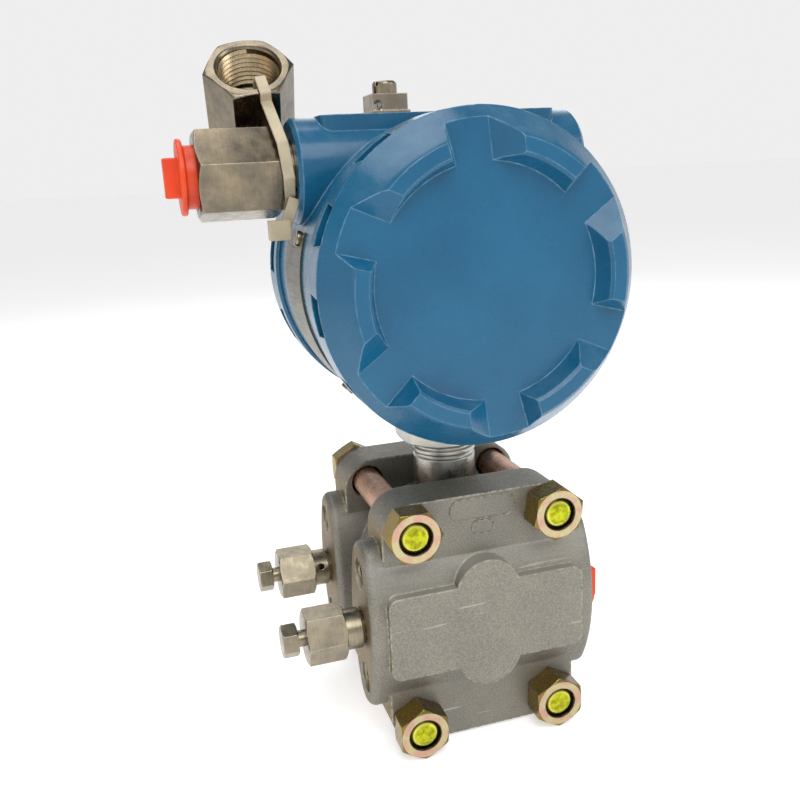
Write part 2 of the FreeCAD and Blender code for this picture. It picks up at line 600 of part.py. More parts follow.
# ------------------------------------------------------------------- sensing cell
def sensing_cell():
    """Welded cell with a seat for a diaphragm on each face, and its threaded neck."""
    half = "Dim.flange_gap / 2"
    seat = "Dim.diaphragm_radius + Dim.fit_clearance"
    disc = turned("CellDisc", [
        ("0", "Dim.diaphragm_recess"), (seat, "Dim.diaphragm_recess"), (seat, "0"),
        ("Dim.cell_radius - Dim.cell_bevel", "0"), ("Dim.cell_radius", "Dim.cell_bevel"),
        ("Dim.cell_radius", "Dim.flange_gap - Dim.cell_bevel"),
        ("Dim.cell_radius - Dim.cell_bevel", "Dim.flange_gap"), (seat, "Dim.flange_gap"),
        (seat, "Dim.flange_gap - Dim.diaphragm_recess"),
        ("0", "Dim.flange_gap - Dim.diaphragm_recess")],
        y="-" + half, z="Dim.port_height", axis=REAR)
    top = "Dim.housing_axis - Dim.housing_radius + Dim.tower_height - 2"
    relief = "Dim.thread_radius - Dim.thread_groove"
    neck = turned("CellNeck", [
        ("0", "Dim.port_height + Dim.cell_radius / 2"),
        ("Dim.neck_radius - 1", "Dim.port_height + Dim.cell_radius / 2"),
        ("Dim.neck_radius - 1", "Dim.port_height + Dim.cell_radius - 1"),
        ("Dim.neck_radius", "Dim.port_height + Dim.cell_radius"),
        ("Dim.neck_radius", "Dim.neck_shoulder"),
        (relief, "Dim.neck_shoulder + 0.6"), (relief, "Dim.neck_shoulder + 1.6"),
        ("Dim.thread_radius", "Dim.neck_shoulder + 2.2"),
        ("Dim.thread_radius", "Dim.neck_shoulder + 3.4"),
        (relief, "Dim.neck_shoulder + 4"), (relief, "Dim.neck_shoulder + 4.6"),
        ("Dim.thread_radius", "Dim.neck_shoulder + 5.2"),
        ("Dim.thread_radius", top + " - 1"), ("Dim.thread_radius - 1", top), ("0", top)])
    return fuse("Cell", disc, neck)


def diaphragm(tag, y, axis):
    """Thin rippled disc lying on the floor of its seat."""
    lower, upper, steps = [], [], 6
    for step in range(steps + 1):
        radius = "Dim.diaphragm_radius * %g" % ((steps - step) / steps)
        lift = "Dim.ripple_height" if step % 2 else "0"
        upper.append((radius, "Dim.diaphragm_thickness + " + lift))
    lower = [("0", "0"), ("Dim.diaphragm_radius", "0")]
    return turned("Diaphragm" + tag, lower + upper, y=y, z="Dim.port_height", axis=axis)


node(sensing_cell(), "sensing_cell")
seat_depth = "(Dim.flange_gap / 2 - Dim.diaphragm_recess)"
node(group("Diaphragms", [diaphragm("Front", "-" + seat_depth, FRONT),
                          diaphragm("Rear", seat_depth, REAR)]), "isolating_diaphragms")
lock_blank = chamfered_hexagon("LockBlank", "Dim.lock_nut_flats", "Dim.lock_nut_thickness",
                               "Dim.lock_nut_flats / 2 * 0.99", z="Dim.lock_nut_bottom",
                               spin=34)
lock_bore = cylinder("LockBore", "Dim.thread_radius + Dim.fit_clearance",
                     "Dim.lock_nut_thickness", z="Dim.lock_nut_bottom")
node(cut("LockNut", lock_blank, lock_bore), "housing_lock_nut")


# -------------------------------------------------------------------- vent valves
def vent_valve(tag, y, bleed_turn):
    """Vent body screwed in a left-hand port, and the stem that screws in it."""
    rise = "Dim.port_height"
    where = {"x": "-Dim.flange_length / 2", "y": y, "z": rise, "axis": LEFT}
    collar = turned("VentCollar" + tag, [
        ("0", "-Dim.port_depth + 4"), ("Dim.port_radius - Dim.fit_clearance", "-Dim.port_depth + 4"),
        ("Dim.port_radius - Dim.fit_clearance", "0"), ("Dim.port_radius", "1.2"),
        ("Dim.vent_neck_radius", "1.2"), ("Dim.vent_neck_radius", "Dim.vent_neck"),
        ("0", "Dim.vent_neck")], **where)
    flats = chamfered_hexagon("VentFlats" + tag, "Dim.vent_flats", "Dim.vent_hex",
                              "Dim.vent_flats / 2", y=y, z=rise, axis=LEFT, spin=30,
                              x="-Dim.flange_length / 2 - Dim.vent_neck")
    outer = "(Dim.vent_neck + Dim.vent_hex)"
    bore = "Dim.stem_radius + Dim.stem_clearance"
    tip = "(%s - Dim.stem_length)" % outer
    drilling = turned("VentDrilling" + tag, [
        ("0", "-Dim.port_depth + 4"), ("Dim.vent_bleed_radius", "-Dim.port_depth + 4"),
        ("Dim.vent_bleed_radius", tip + " - 2"), (bore, tip + " - 0.4"),
        (bore, outer), ("0", outer)], **where)
    bleed = cylinder("VentBleed" + tag, "Dim.vent_bleed_radius", "Dim.vent_neck_radius + 1",
                     x="-Dim.flange_length / 2 - Dim.vent_neck * 0.6", y=y, z=rise,
                     axis=(0, -math.cos(bleed_turn), math.sin(bleed_turn)))
    body = cut("VentBody" + tag, fuse("VentSolid" + tag, collar, flats), drilling, bleed)
    stem_shank = turned("StemShank" + tag, [
        ("0", tip), ("Dim.stem_radius * 0.3", tip), ("Dim.stem_radius", tip + " + 2"),
        ("Dim.stem_radius", outer + " + Dim.stem_reach + 1"),
        ("0", outer + " + Dim.stem_reach + 1")], **where)
    stem_head = chamfered_hexagon(
        "StemHead" + tag, "Dim.stem_head_flats", "Dim.stem_head", "Dim.stem_head_flats / 2",
        y=y, z=rise, axis=LEFT, spin=12,
        x="-Dim.flange_length / 2 - %s - Dim.stem_reach" % outer)
    return body, fuse("Stem" + tag, stem_shank, stem_head)


front_vent, front_stem = vent_valve("Front", "-Dim.port_spacing / 2", math.radians(-120))
rear_vent, rear_stem = vent_valve("Rear", "Dim.port_spacing / 2", math.radians(25))
node(group("VentBodies", [front_vent, rear_vent]), "vent_valve_bodies")
node(front_stem, "front_vent_stem")
node(rear_stem, "rear_vent_stem")


# -------------------------------------------------------------- moulded port plugs
def moulded_plug(tag, radius, insert, stand_off, flange_radius, grip_width,
                 grip_thickness, spin, **where):
    """Hollow push-in plug with a round flange and a bar to pull it by."""
    top = "(%s + Dim.plug_flange)" % stand_off
    shell = turned("PlugShell" + tag, [
        ("(%s) - Dim.plug_wall" % radius, "-(%s)" % insert), (radius, "-(%s)" % insert),
        (radius, stand_off), (flange_radius, stand_off), (flange_radius, top), ("0", top),
        ("0", stand_off), ("(%s) - Dim.plug_wall" % radius, stand_off)], **where)
    grip = box("PlugGrip" + tag, grip_width, grip_thickness, "Dim.plug_grip + " + top)
    hollow = cylinder("PlugHollow" + tag, "(%s) - Dim.plug_wall" % radius, stand_off)
    bar = cut("PlugBar" + tag, grip, hollow)
    place(bar, spin=spin, **where)
    return fuse("Plug" + tag, shell, bar)


for tag, y in (("Front", "-Dim.port_spacing / 2"), ("Rear", "Dim.port_spacing / 2")):
    plug = moulded_plug(tag, "Dim.port_radius - Dim.fit_clearance", "Dim.port_plug_insert",
                        "Dim.port_plug_stand_off", "Dim.port_plug_flange_radius",
                        "Dim.port_plug_grip_width", "Dim.port_plug_grip_thickness", 0,
                        x="Dim.flange_length / 2", y=y, z="Dim.port_height", axis=RIGHT)
    node(plug, tag.lower() + "_port_plug")
adapter_mouth = "(Dim.conduit_reach + Dim.adapter_stand_off + Dim.adapter_hex)"
node(moulded_plug("Conduit", "Dim.adapter_socket - Dim.fit_clearance", "Dim.plug_insert",
                  "Dim.plug_stand_off", "Dim.plug_flange_radius", "Dim.plug_grip_width",
                  "Dim.plug_grip_thickness", 0, x="-" + adapter_mouth,
                  z="Dim.conduit_height", axis=LEFT), "conduit_plug")


# -------------------------------------------------------------- slotted screws
def slotted_screw(name, radius, length, head_radius, head, spin=0.0, **where):
    """Cheese-head screw: its head stands on the place, its shank goes below."""
    shape = turned(name + "Turning", [
        ("0", "-(%s)" % length), (radius + " * 0.6", "-(%s)" % length),
        (radius, "-(%s) + %s * 0.4" % (length, radius)), (radius, "0"), (head_radius, "0"),
        (head_radius, head + " * 0.8"), (head_radius + " * 0.88", head), ("0", head)], **where)
    blade = box(name + "Blade", "2.2 * " + head_radius, "Dim.slot_cut", "Dim.slot_cut_depth",
                z="%s - Dim.slot_cut_depth" % head)
    slot = place(fuse(name + "Slot", blade, box(name + "Tip", "2.2 * " + head_radius,
                                                "Dim.slot_cut", "1", z=head)),
                 spin=spin, **where)
    return cut(name, shape, slot)


# ------------------------------------------------------------------------ housing
AXIS = "Dim.housing_axis"
UNDERSIDE = "(Dim.lock_nut_bottom + Dim.lock_nut_thickness)"
SOCKET_TOP = "(Dim.housing_axis - Dim.housing_radius + Dim.tower_height)"
PILLARS = (45, 135, 225, 315)
PLATE_SCREWS = (163.5, 225.5)


def pillar_spot(angle, circle="Dim.pillar_circle"):
    """Place on a circle about the housing's axis, seen from the front."""
    return {"x": "%s * cos(%g deg)" % (circle, angle),
            "z": "%s + %s * sin(%g deg)" % (AXIS, circle, angle)}


def radial(angle):
    return (math.cos(math.radians(angle)), 0, math.sin(math.radians(angle)))


def plate_screw_spot(angle):
    where = pillar_spot(angle, "(Dim.housing_radius + Dim.plate_thickness)")
    where.update(y="-Dim.plate_screw_offset", axis=radial(angle))
    return where


def housing():
    """Casting with a front chamber, a rear chamber, two conduit bosses and a foot."""
    half = "Dim.housing_half"
    bevel = "0.8"
    barrel = turned("Barrel", [
        ("0", "0"), ("Dim.housing_radius - " + bevel, "0"), ("Dim.housing_radius", bevel),
        ("Dim.housing_radius", "2 * %s - %s" % (half, bevel)),
        ("Dim.housing_radius - " + bevel, "2 * " + half), ("0", "2 * " + half)],
        y="-" + half, z=AXIS, axis=REAR)
    block = rounded_block("ConduitBlock", "Dim.block_width", "Dim.block_depth",
                          "Dim.block_top - Dim.housing_axis", "Dim.block_corner", z=AXIS)
    reach = "Dim.conduit_reach"
    boss_edge = "1.2"
    bosses = turned("ConduitBosses", [
        ("0", "0"), ("Dim.conduit_boss_radius - " + boss_edge, "0"),
        ("Dim.conduit_boss_radius", boss_edge),
        ("Dim.conduit_boss_radius", "2 * %s - %s" % (reach, boss_edge)),
        ("Dim.conduit_boss_radius - " + boss_edge, "2 * " + reach), ("0", "2 * " + reach)],
        x="-" + reach, z="Dim.conduit_height", axis=RIGHT)
    foot = cylinder("FootBoss", "Dim.neck_boss_radius",
                    "Dim.housing_axis - %s - Dim.chamber_bore + 4" % UNDERSIDE, z=UNDERSIDE)
    outside = fuse("HousingOutside", barrel, block, bosses, foot)
    front = cylinder("FrontChamber", "Dim.chamber_bore", "%s - Dim.wall_front" % half,
                     y="-Dim.wall_front", z=AXIS, axis=FRONT)
    rear = cylinder("RearChamber", "Dim.chamber_bore",
                    "%s + Dim.wall_front - Dim.wall_thickness" % half,
                    y="-Dim.wall_front + Dim.wall_thickness", z=AXIS, axis=REAR)
    hollow = cut("HousingHollow", outside, front, rear)
    inside = [cylinder("Tower", "Dim.thread_radius + Dim.tower_wall",
                       "Dim.tower_height", z=AXIS + " - Dim.housing_radius + 3")]
    drillings = []
    for angle in PILLARS:
        for tag, axis, length, tip in (
                ("Front", REAR, "Dim.pillar_reach - Dim.wall_front + 1", "-Dim.pillar_reach"),
                ("Rear", FRONT, "Dim.pillar_reach + Dim.wall_front - Dim.wall_thickness + 1",
                 "Dim.pillar_reach")):
            name = "Pillar%s%d" % (tag, angle)
            inside.append(cylinder(name, "Dim.pillar_radius", length, y=tip, axis=axis,
                                   **pillar_spot(angle)))
            depth = "Dim.pillar_screw_grip" if tag == "Rear" else "Dim.wall_thickness"
            drillings.append(cylinder(name + "Hole", "Dim.pillar_screw_radius",
                                      depth + " + 0.5", y=tip, axis=axis,
                                      **pillar_spot(angle)))
    for tag, sign, axis in (("Left", "-", RIGHT), ("Right", "", LEFT)):
        drillings.append(turned("ConduitEntry" + tag, [
            ("0", "0"), ("Dim.conduit_radius + 0.6", "0"), ("Dim.conduit_radius", "0.6"),
            ("Dim.conduit_radius", "Dim.conduit_depth"),
            ("Dim.conduit_throat", "Dim.conduit_depth"),
            ("Dim.conduit_throat", "Dim.conduit_throat_depth"),
            ("0", "Dim.conduit_throat_depth")],
            x=sign + reach, z="Dim.conduit_height", axis=axis))
    drillings.append(cylinder("NeckSocket", "Dim.thread_radius + Dim.fit_clearance",
                              "%s - 1 - %s" % (SOCKET_TOP, UNDERSIDE), z=UNDERSIDE))
    drillings.append(cylinder("EarthHole", "Dim.earth_screw_radius + Dim.fit_clearance",
                              "Dim.earth_screw_depth + 0.5", x="Dim.earth_x",
                              z="Dim.block_top - Dim.earth_screw_depth - 0.5"))
    for angle in PLATE_SCREWS:
        hole = cylinder("PlateHole%d" % angle, "Dim.plate_screw_radius",
                        "Dim.plate_screw_length + 1", **plate_screw_spot(angle))
        place(hole, **dict(plate_screw_spot(angle),
                           **pillar_spot(angle, "(Dim.housing_radius - Dim.plate_screw_length)")))
        drillings.append(hole)
    return cut("Housing", fuse("HousingCasting", hollow, *inside), *drillings)


node(housing(), "housing")


# ------------------------------------------------------------- nameplate on its curve
def nameplate():
    body = doc.addObject("PartDesign::Body", "PlateSheet")
    inner = "Dim.housing_radius"
    outer = "Dim.housing_radius + Dim.plate_thickness"
    half = "Dim.plate_width / 2"
    profile = draw(body, "PlateSection", "XZ_Plane", [
        (inner, "-" + half), (outer, "-" + half), (outer, half), (inner, half)])
    turn = body.newObject("PartDesign::Revolution", "PlateBend")
    turn.Profile = profile
    turn.ReferenceAxis = (profile, ["V_Axis"])
    bind(turn, Angle="Dim.plate_sweep * 1 deg")
    place(body, z=AXIS, axis=FRONT, spin=number("Dim.plate_start"))
    holes = [cylinder("SheetHole%d" % angle, "Dim.plate_screw_radius + Dim.fit_clearance",
                      "3", **plate_screw_spot(angle)) for angle in PLATE_SCREWS]
    for angle, hole in zip(PLATE_SCREWS, holes):
        place(hole, **dict(plate_screw_spot(angle),
                           **pillar_spot(angle, "(Dim.housing_radius - 1)")))
    return cut("Nameplate", body, *holes)


node(nameplate(), "nameplate")
node(group("PlateScrews", [
    slotted_screw("PlateScrew%d" % angle, "Dim.plate_screw_radius",
                  "Dim.plate_screw_length", "Dim.plate_screw_head", "Dim.plate_head_height",
                  30, **plate_screw_spot(angle)) for angle in PLATE_SCREWS]),
     "nameplate_screws")


# ----------------------------------------------------------------- earth terminal
def earth_clamp():
    """Washer plate with the clamp standing on it, drilled for the screw."""
    pad = box("EarthPad", "Dim.earth_size + 1.5", "Dim.earth_size", "Dim.earth_pad",
              x="Dim.earth_x", z="Dim.block_top")
    top = "(Dim.block_top + Dim.earth_pad)"
    block = box("EarthBlock", "Dim.earth_size", "Dim.earth_size - 1", "Dim.earth_block",
                x="Dim.earth_x", z=top)
    hole = cylinder("EarthBore", "Dim.earth_screw_radius + Dim.fit_clearance",
                    "Dim.earth_pad + Dim.earth_block", x="Dim.earth_x", z="Dim.block_top")
    lead = cylinder("EarthLeadHole", "1.6", "Dim.earth_size + 2",
                    x="Dim.earth_x - Dim.earth_size / 3",
                    y="-Dim.earth_size / 2 - 1", z=top + " + 1.7", axis=REAR)
    return cut("EarthClamp", fuse("EarthBody", pad, block), hole, lead)


node(earth_clamp(), "ground_clamp")
node(slotted_screw("EarthScrew", "Dim.earth_screw_radius",
                   "Dim.earth_screw_depth + Dim.earth_pad + Dim.earth_block",
                   "Dim.earth_head_radius", "Dim.earth_head", 35, x="Dim.earth_x",
                   z="Dim.block_top + Dim.earth_pad + Dim.earth_block"), "ground_screw")


# --------------------------------------------------------------- conduit adapters
def conduit_adapter(tag, spin=0.0, **where):
    """Hexagon adapter, its mouth at the place and its male thread behind."""
    far = "(Dim.adapter_hex + Dim.adapter_thread)"
    male = "Dim.conduit_radius - Dim.fit_clearance"
    bar = hexagon("AdapterBar" + tag, "Dim.adapter_flats", "Dim.adapter_hex")
    lathe = turned("AdapterLathe" + tag, hex_lathe(
        "Dim.adapter_flats", "Dim.adapter_hex", "Dim.adapter_flats / 2 * 0.98"))
    prism = place(common("AdapterHex" + tag, bar, lathe), z="-Dim.adapter_hex")
    pipe = turned("AdapterThread" + tag, [
        ("0", "-" + far), (male + " - 1", "-" + far), (male, "1 - " + far),
        (male, "-Dim.adapter_hex + 0.5"), ("0", "-Dim.adapter_hex + 0.5")])
    bore = turned("AdapterBore" + tag, [
        ("0", "-" + far), ("Dim.adapter_bore", "-" + far),
        ("Dim.adapter_bore", "-Dim.adapter_socket_depth - 1.5"),
        ("Dim.adapter_socket", "-Dim.adapter_socket_depth"),
        ("Dim.adapter_socket", "-1"), ("Dim.adapter_socket + 1", "0"), ("0", "0")])
    piece = cut("Adapter" + tag, fuse("AdapterSolid" + tag, prism, pipe), bore)
    return place(piece, spin=spin, **where)


def hex_lathe(across_flats, height, face_radius):
    """Turning that takes the corners off both ends of a hexagon."""
    reach = "(%s) / sqrt(3)" % across_flats
    drop = "((%s) - (%s)) * 0.5" % (reach, face_radius)
    return [("0", "0"), (face_radius, "0"), (reach, drop),
            (reach, "(%s) - %s" % (height, drop)), (face_radius, height), ("0", height)]


node(conduit_adapter("Fitted", 43, x="-" + adapter_mouth, z="Dim.conduit_height",
                     axis=LEFT), "conduit_adapter")
lean = math.radians(number("Dim.spare_lean"))
spare_axis = (-0.09, -math.sin(lean), math.cos(lean))
node(conduit_adapter("Spare", 0, x="Dim.spare_x", y="Dim.spare_y", z="Dim.spare_z",
                     axis=spare_axis), "spare_conduit_adapter")


# ---------------------------------------------------------------------- cable tie
def tie_loop():
    """Band in a leaning plane, round the fitted adapter's neck and through the spare."""
    sketch = doc.addObject("Sketcher::SketchObject", "TiePath")
    male = number("Dim.conduit_radius")
    lean_turn = FreeCAD.Rotation(Vector(0, 1, 0), -number("Dim.tie_lean"))
    upright = FreeCAD.Rotation(Vector(0, 1, 0), Vector(0, 0, 1), Vector(1, 0, 0), "ZXY")
    sketch.Placement = FreeCAD.Placement(Vector(0, 0, 0), lean_turn.multiply(upright))
    bind(sketch, **{
        "Placement.Base.x": "-Dim.conduit_reach - Dim.adapter_stand_off / 2 - 0.95",
        "Placement.Base.z": "Dim.conduit_height"})
    mouth_y = number("Dim.spare_y")
    mouth_z = number("Dim.spare_z - Dim.conduit_height")
    down = Vector(-math.cos(lean), -math.sin(lean), 0)
    back = Vector(math.sin(lean), -math.cos(lean), 0)
    mouth = Vector(mouth_y, mouth_z, 0)
    bore = number("Dim.adapter_bore - Dim.tie_thickness") - 2.1
    flat = number("Dim.adapter_flats / 2") + 0.5
    length = number("Dim.adapter_hex + Dim.adapter_thread")
    round_neck = male + 0.15
    spots = [Vector(-flat - 0.3, -1.5, 0), Vector(-flat - 0.6, 4, 0),
             Vector(-flat - 0.1, 9, 0),
             mouth + down * (flat + 0.6) + back * 2.5, mouth + down * flat - back * 0.8,
             mouth + down * (bore + 2.5) - back * 0.8, mouth + down * bore + back * 3,
             mouth + down * bore + back * (length + 1),
             mouth + down * (bore + 4) + back * (length + 2),
             Vector(round_neck + 4, -round_neck + 1, 0), Vector(4, -round_neck - 0.1, 0),
             Vector(-3, -round_neck - 0.3, 0), Vector(-round_neck + 1, -round_neck + 4, 0)]
    for index, spot in enumerate(spots):
        following = spots[(index + 1) % len(spots)]
        sketch.addGeometry(Part.LineSegment(spot, following), False)
    for index in range(len(spots)):
        sketch.addConstraint(Sketcher.Constraint("Coincident", index, 2,
                                                 (index + 1) % len(spots), 1))
    ring = doc.addObject("Part::Offset2D", "TieBand")
    ring.Source = sketch
    ring.Join = 0
    ring.Fill = True
    bind(ring, Value="Dim.tie_thickness")
    band = doc.addObject("Part::Extrusion", "TieLoop")
    band.Base = ring
    band.DirMode = "Normal"
    band.Solid = True
    band.Symmetric = True
    bind(band, LengthFwd="Dim.tie_width")
    return band


def cable_tie():
    """The loop, and the head the strap is drawn through, hanging under the neck."""
    head = box("TieHead", "Dim.tie_head_width", "Dim.tie_head * 0.8", "Dim.tie_head",
               x="Dim.tie_head_x", y="Dim.tie_head_y",
               z="Dim.conduit_height - Dim.tie_drop - Dim.tie_head / 2")
    start = Vector(number("Dim.tie_head_x"), number("Dim.tie_head_y"),
                   number("Dim.conduit_height - Dim.tie_drop"))
    end = Vector(number("-Dim.conduit_reach - Dim.adapter_stand_off / 2 - 0.5"),
                 -number("Dim.conduit_radius") - 0.9,
                 number("Dim.conduit_height") - 7.5)
    run = end - start
    link = box("TieLink", "Dim.tie_width", "Dim.tie_thickness", "%g" % run.Length)
    link.Placement = FreeCAD.Placement(
        start, FreeCAD.Rotation(Vector(1, 0, 0), Vector(0, 1, 0), run, "ZXY"))
    link.setExpression("Placement.Base.x", None)
    link.setExpression("Placement.Base.y", None)
    return fuse("CableTie", tie_loop(), head, link)


node(cable_tie(), "cable_tie")


# ------------------------------------------------------------------ screwed covers
def tilted_sketch(body, name, corners, turn, outward="0"):
    """Sketch on a plane through the body's own Z, turned by degrees about it.

    Corners are (across, up); the sketch faces along the turned Y."""
    sketch = draw(body, name, "XZ_Plane", corners)
    spin = FreeCAD.Rotation(Vector(0, 1, 0), turn)
    offset = spin.multVec(Vector(0, 0, number(outward)))
    sketch.AttachmentOffset = FreeCAD.Placement(offset, spin)
    return sketch


def cover(label, axis, phase_turn):
    """Castellated cover: turned blank, one grip lug and one rim recess patterned."""
    tag = label.replace("_", " ").title().replace(" ", "")
    body = doc.addObject("PartDesign::Body", tag)
    floor, skirt = "Dim.cover_floor", "Dim.cover_skirt"
    crest = "(Dim.cover_floor + Dim.lug_height)"
    male = "(Dim.chamber_bore - Dim.cover_clearance)"
    under = "(%s - Dim.cover_wall)" % floor
    groove_in = "Dim.ring_radius - Dim.ring_section - 0.1"
    groove_out = "Dim.ring_radius + Dim.ring_section + 0.1"
    blank = body.newObject("PartDesign::Revolution", tag + "Blank")
    section = draw(body, tag + "Section", "XZ_Plane", [
        ("0", under), ("Dim.cover_bore - 2", under), ("Dim.cover_bore", under + " - 2"),
        ("Dim.cover_bore", "-Dim.cover_engagement"),
        (male + " - 1", "-Dim.cover_engagement"), (male, "1 - Dim.cover_engagement"),
        (male, "0"), (groove_in, "0"), (groove_in, "2 * Dim.ring_section"),
        (groove_out, "2 * Dim.ring_section"), (groove_out, "0"),
        ("Dim.cover_radius - 0.8", "0"), ("Dim.cover_radius", "0.8"),
        ("Dim.cover_radius", skirt + " - 0.6"), ("Dim.cover_radius - 0.5", skirt),
        ("Dim.cover_floor_radius", floor), ("0", floor)])
    blank.Profile = section
    blank.ReferenceAxis = (section, ["V_Axis"])
    blank.Angle = 360

    phase = number("Dim.cover_phase")
    sweep = number("Dim.lug_sweep")
    lug = body.newObject("PartDesign::Revolution", tag + "Lug")
    lug_section = tilted_sketch(body, tag + "LugSection", [
        ("Dim.lug_inner_radius - 0.4", floor + " - 1"),
        ("Dim.lug_inner_radius", floor + " + 0.6"),
        ("Dim.lug_inner_radius + 0.6", floor + " + 1.8"),
        ("Dim.lug_top_inner - 0.7", crest + " - 0.8"), ("Dim.lug_top_inner + 0.3", crest),
        ("Dim.lug_top_outer - 0.6", crest), ("Dim.lug_top_outer + 0.5", crest + " - 0.8"),
        ("Dim.cover_floor_radius", floor), ("Dim.cover_floor_radius - 1", floor + " - 1")],
        phase - sweep)
    lug.Profile = lug_section
    lug.ReferenceAxis = (lug_section, ["V_Axis"])
    bind(lug, Angle="Dim.lug_sweep * 1 deg")
    doc.recompute()

    over = "%s + Dim.lug_height + 1" % floor
    ends = []
    for name, turn, foot, side, run in (
            ("Ramp", phase + number("Dim.ramp_skew") - 90, "Dim.ramp_foot", "-", "Dim.lug_ramp"),
            ("Wall", phase - sweep - 90, "0", "+", "-Dim.lug_end")):
        end = body.newObject("PartDesign::Pocket", tag + name)
        end.Profile = tilted_sketch(body, tag + name + "Section", [
            (foot, floor), ("%s %s 12" % (foot, side), floor), ("%s %s 12" % (foot, side), over),
            ("%s + %s * (1 + 1 / Dim.lug_height)" % (foot, run), over)], turn)
        bind(end, Length="Dim.cover_radius + 2")
        ends.append(end)
    lugs = body.newObject("PartDesign::PolarPattern", tag + "Lugs")
    lugs.Originals = [lug] + ends
    lugs.Axis = (section, ["V_Axis"])
    lugs.Angle = 360
    bind(lugs, Occurrences="Dim.lug_count")
    body.Tip = lugs
    doc.recompute()

    recess = body.newObject("PartDesign::Pocket", tag + "Recess")
    recess.Profile = tilted_sketch(body, tag + "RecessSection", [
        ("-Dim.slot_width / 2", "Dim.slot_start"), ("Dim.slot_width / 2", "Dim.slot_start"),
        ("Dim.slot_width / 2 - 1", "Dim.slot_start + Dim.slot_length"),
        ("1 - Dim.slot_width / 2", "Dim.slot_start + Dim.slot_length")],
        phase - 90 + 8, "Dim.slot_floor")
    bind(recess, Length="Dim.cover_radius - Dim.slot_floor + 2")
    recess.Reversed = True
    recesses = body.newObject("PartDesign::PolarPattern", tag + "Recesses")
    recesses.Originals = [recess]
    recesses.Axis = (section, ["V_Axis"])
    recesses.Angle = 360
    bind(recesses, Occurrences="Dim.slot_count")
    body.Tip = recesses
    sign = "-" if axis == FRONT else ""
    return place(body, y=sign + "Dim.housing_half", z=AXIS, axis=axis, spin=phase_turn)


def cover_seal(tag, axis, sign):
    ring = bind(doc.addObject("Part::Torus", "CoverSeal" + tag),
                Radius1="Dim.ring_radius", Radius2="Dim.ring_section")
    return place(ring, y=sign + "(Dim.housing_half + Dim.ring_section)", z=AXIS, axis=axis)


node(cover("front_cover", FRONT, 0.0), "front_cover")
node(cover("rear_cover", REAR, 0.0), "rear_cover")
node(cover_seal("Front", FRONT, "-"), "front_cover_seal")
node(cover_seal("Rear", REAR, ""), "rear_cover_seal")


# --------------------------------------------------------- what the chambers hold
def drilled_disc(name, radius, depth, bevel, **where):
    """Round plate with four screw holes on the pillars' circle."""
    disc = turned(name + "Disc", [
        ("0", "0"), (radius, "0"), (radius, "%s - %s" % (depth, bevel)),
        ("%s - %s" % (radius, bevel), depth), ("0", depth)], **where)
    holes = [cylinder("%sHole%d" % (name, angle),
                      "Dim.pillar_screw_radius + Dim.fit_clearance", depth,
                      y=where["y"], axis=where["axis"], **pillar_spot(angle))
             for angle in PILLARS]
    return disc, holes


module_front = "(Dim.pillar_reach + Dim.module_depth)"
board_rear = "(%s + Dim.board_gap)" % module_front
board_front = "(%s + Dim.board_thickness)" % board_rear
disc, holes = drilled_disc("Module", "Dim.module_radius", "Dim.module_depth",
                           "Dim.module_bevel", y="-Dim.pillar_reach", z=AXIS, axis=FRONT)
posts = [cylinder("Post%d" % angle, "Dim.pillar_radius", "Dim.board_gap",
                  y="-" + module_front, axis=FRONT, **pillar_spot(angle))
         for angle in PILLARS]
post_holes = [cylinder("PostHole%d" % angle, "Dim.pillar_screw_radius + Dim.fit_clearance",
                       "Dim.board_gap", y="-" + module_front, axis=FRONT,
                       **pillar_spot(angle)) for angle in PILLARS]
node(cut("Module", fuse("ModuleBody", disc, *posts), *(holes + post_holes)),
     "electronics_module")
disc, holes = drilled_disc("Board", "Dim.board_radius", "Dim.board_thickness", "0.1",
                           y="-" + board_rear, z=AXIS, axis=FRONT)
connector = box("Connector", "Dim.connector_length", "Dim.connector_height + 0.1",
                "Dim.connector_length / 3", z=AXIS + " - 12",
                y="-%s - Dim.connector_height / 2 + 0.05" % board_front)
node(cut("CircuitBoard", fuse("BoardBody", disc, connector), *holes), "circuit_board")
node(group("ModuleScrews", [
    slotted_screw("ModuleScrew%d" % angle, "Dim.pillar_screw_radius",
                  board_front + " - Dim.pillar_reach + Dim.wall_thickness",
                  "Dim.pillar_screw_head", "Dim.terminal_head", 20 * index,
                  y="-" + board_front, axis=FRONT, **pillar_spot(angle))
    for index, angle in enumerate(PILLARS)]), "electronics_screws")

block_face = "(Dim.pillar_reach + Dim.terminal_depth)"
strip_face = "(%s + Dim.strip_height)" % block_face
disc, holes = drilled_disc("Terminal", "Dim.terminal_radius", "Dim.terminal_depth", "1",
                           y="Dim.pillar_reach", z=AXIS, axis=REAR)
strip = box("TerminalStrip", "Dim.strip_length", "Dim.strip_height + 1", "Dim.strip_width",
            y=block_face + " + Dim.strip_height / 2 - 0.5", z=AXIS + " - Dim.strip_width / 2")
terminals = [{"x": "Dim.terminal_pitch * %g" % step, "y": strip_face, "z": AXIS,
              "axis": REAR} for step in (-1, 0, 1)]
sockets = [cylinder("TerminalHole%d" % index, "Dim.terminal_screw_radius",
                    "Dim.terminal_screw_length + 0.5", x=spot["x"], z=AXIS,
                    y=strip_face + " - Dim.terminal_screw_length - 0.5", axis=REAR)
           for index, spot in enumerate(terminals)]
node(cut("TerminalBlock", fuse("TerminalBody", disc, strip), *(holes + sockets)),
     "terminal_block")
node(group("TerminalScrews", [
    slotted_screw("TerminalScrew%d" % index, "Dim.terminal_screw_radius",
                  "Dim.terminal_screw_length", "Dim.terminal_head_radius",
                  "Dim.terminal_head", 15 + 40 * index, **spot)
    for index, spot in enumerate(terminals)]), "terminal_screws")
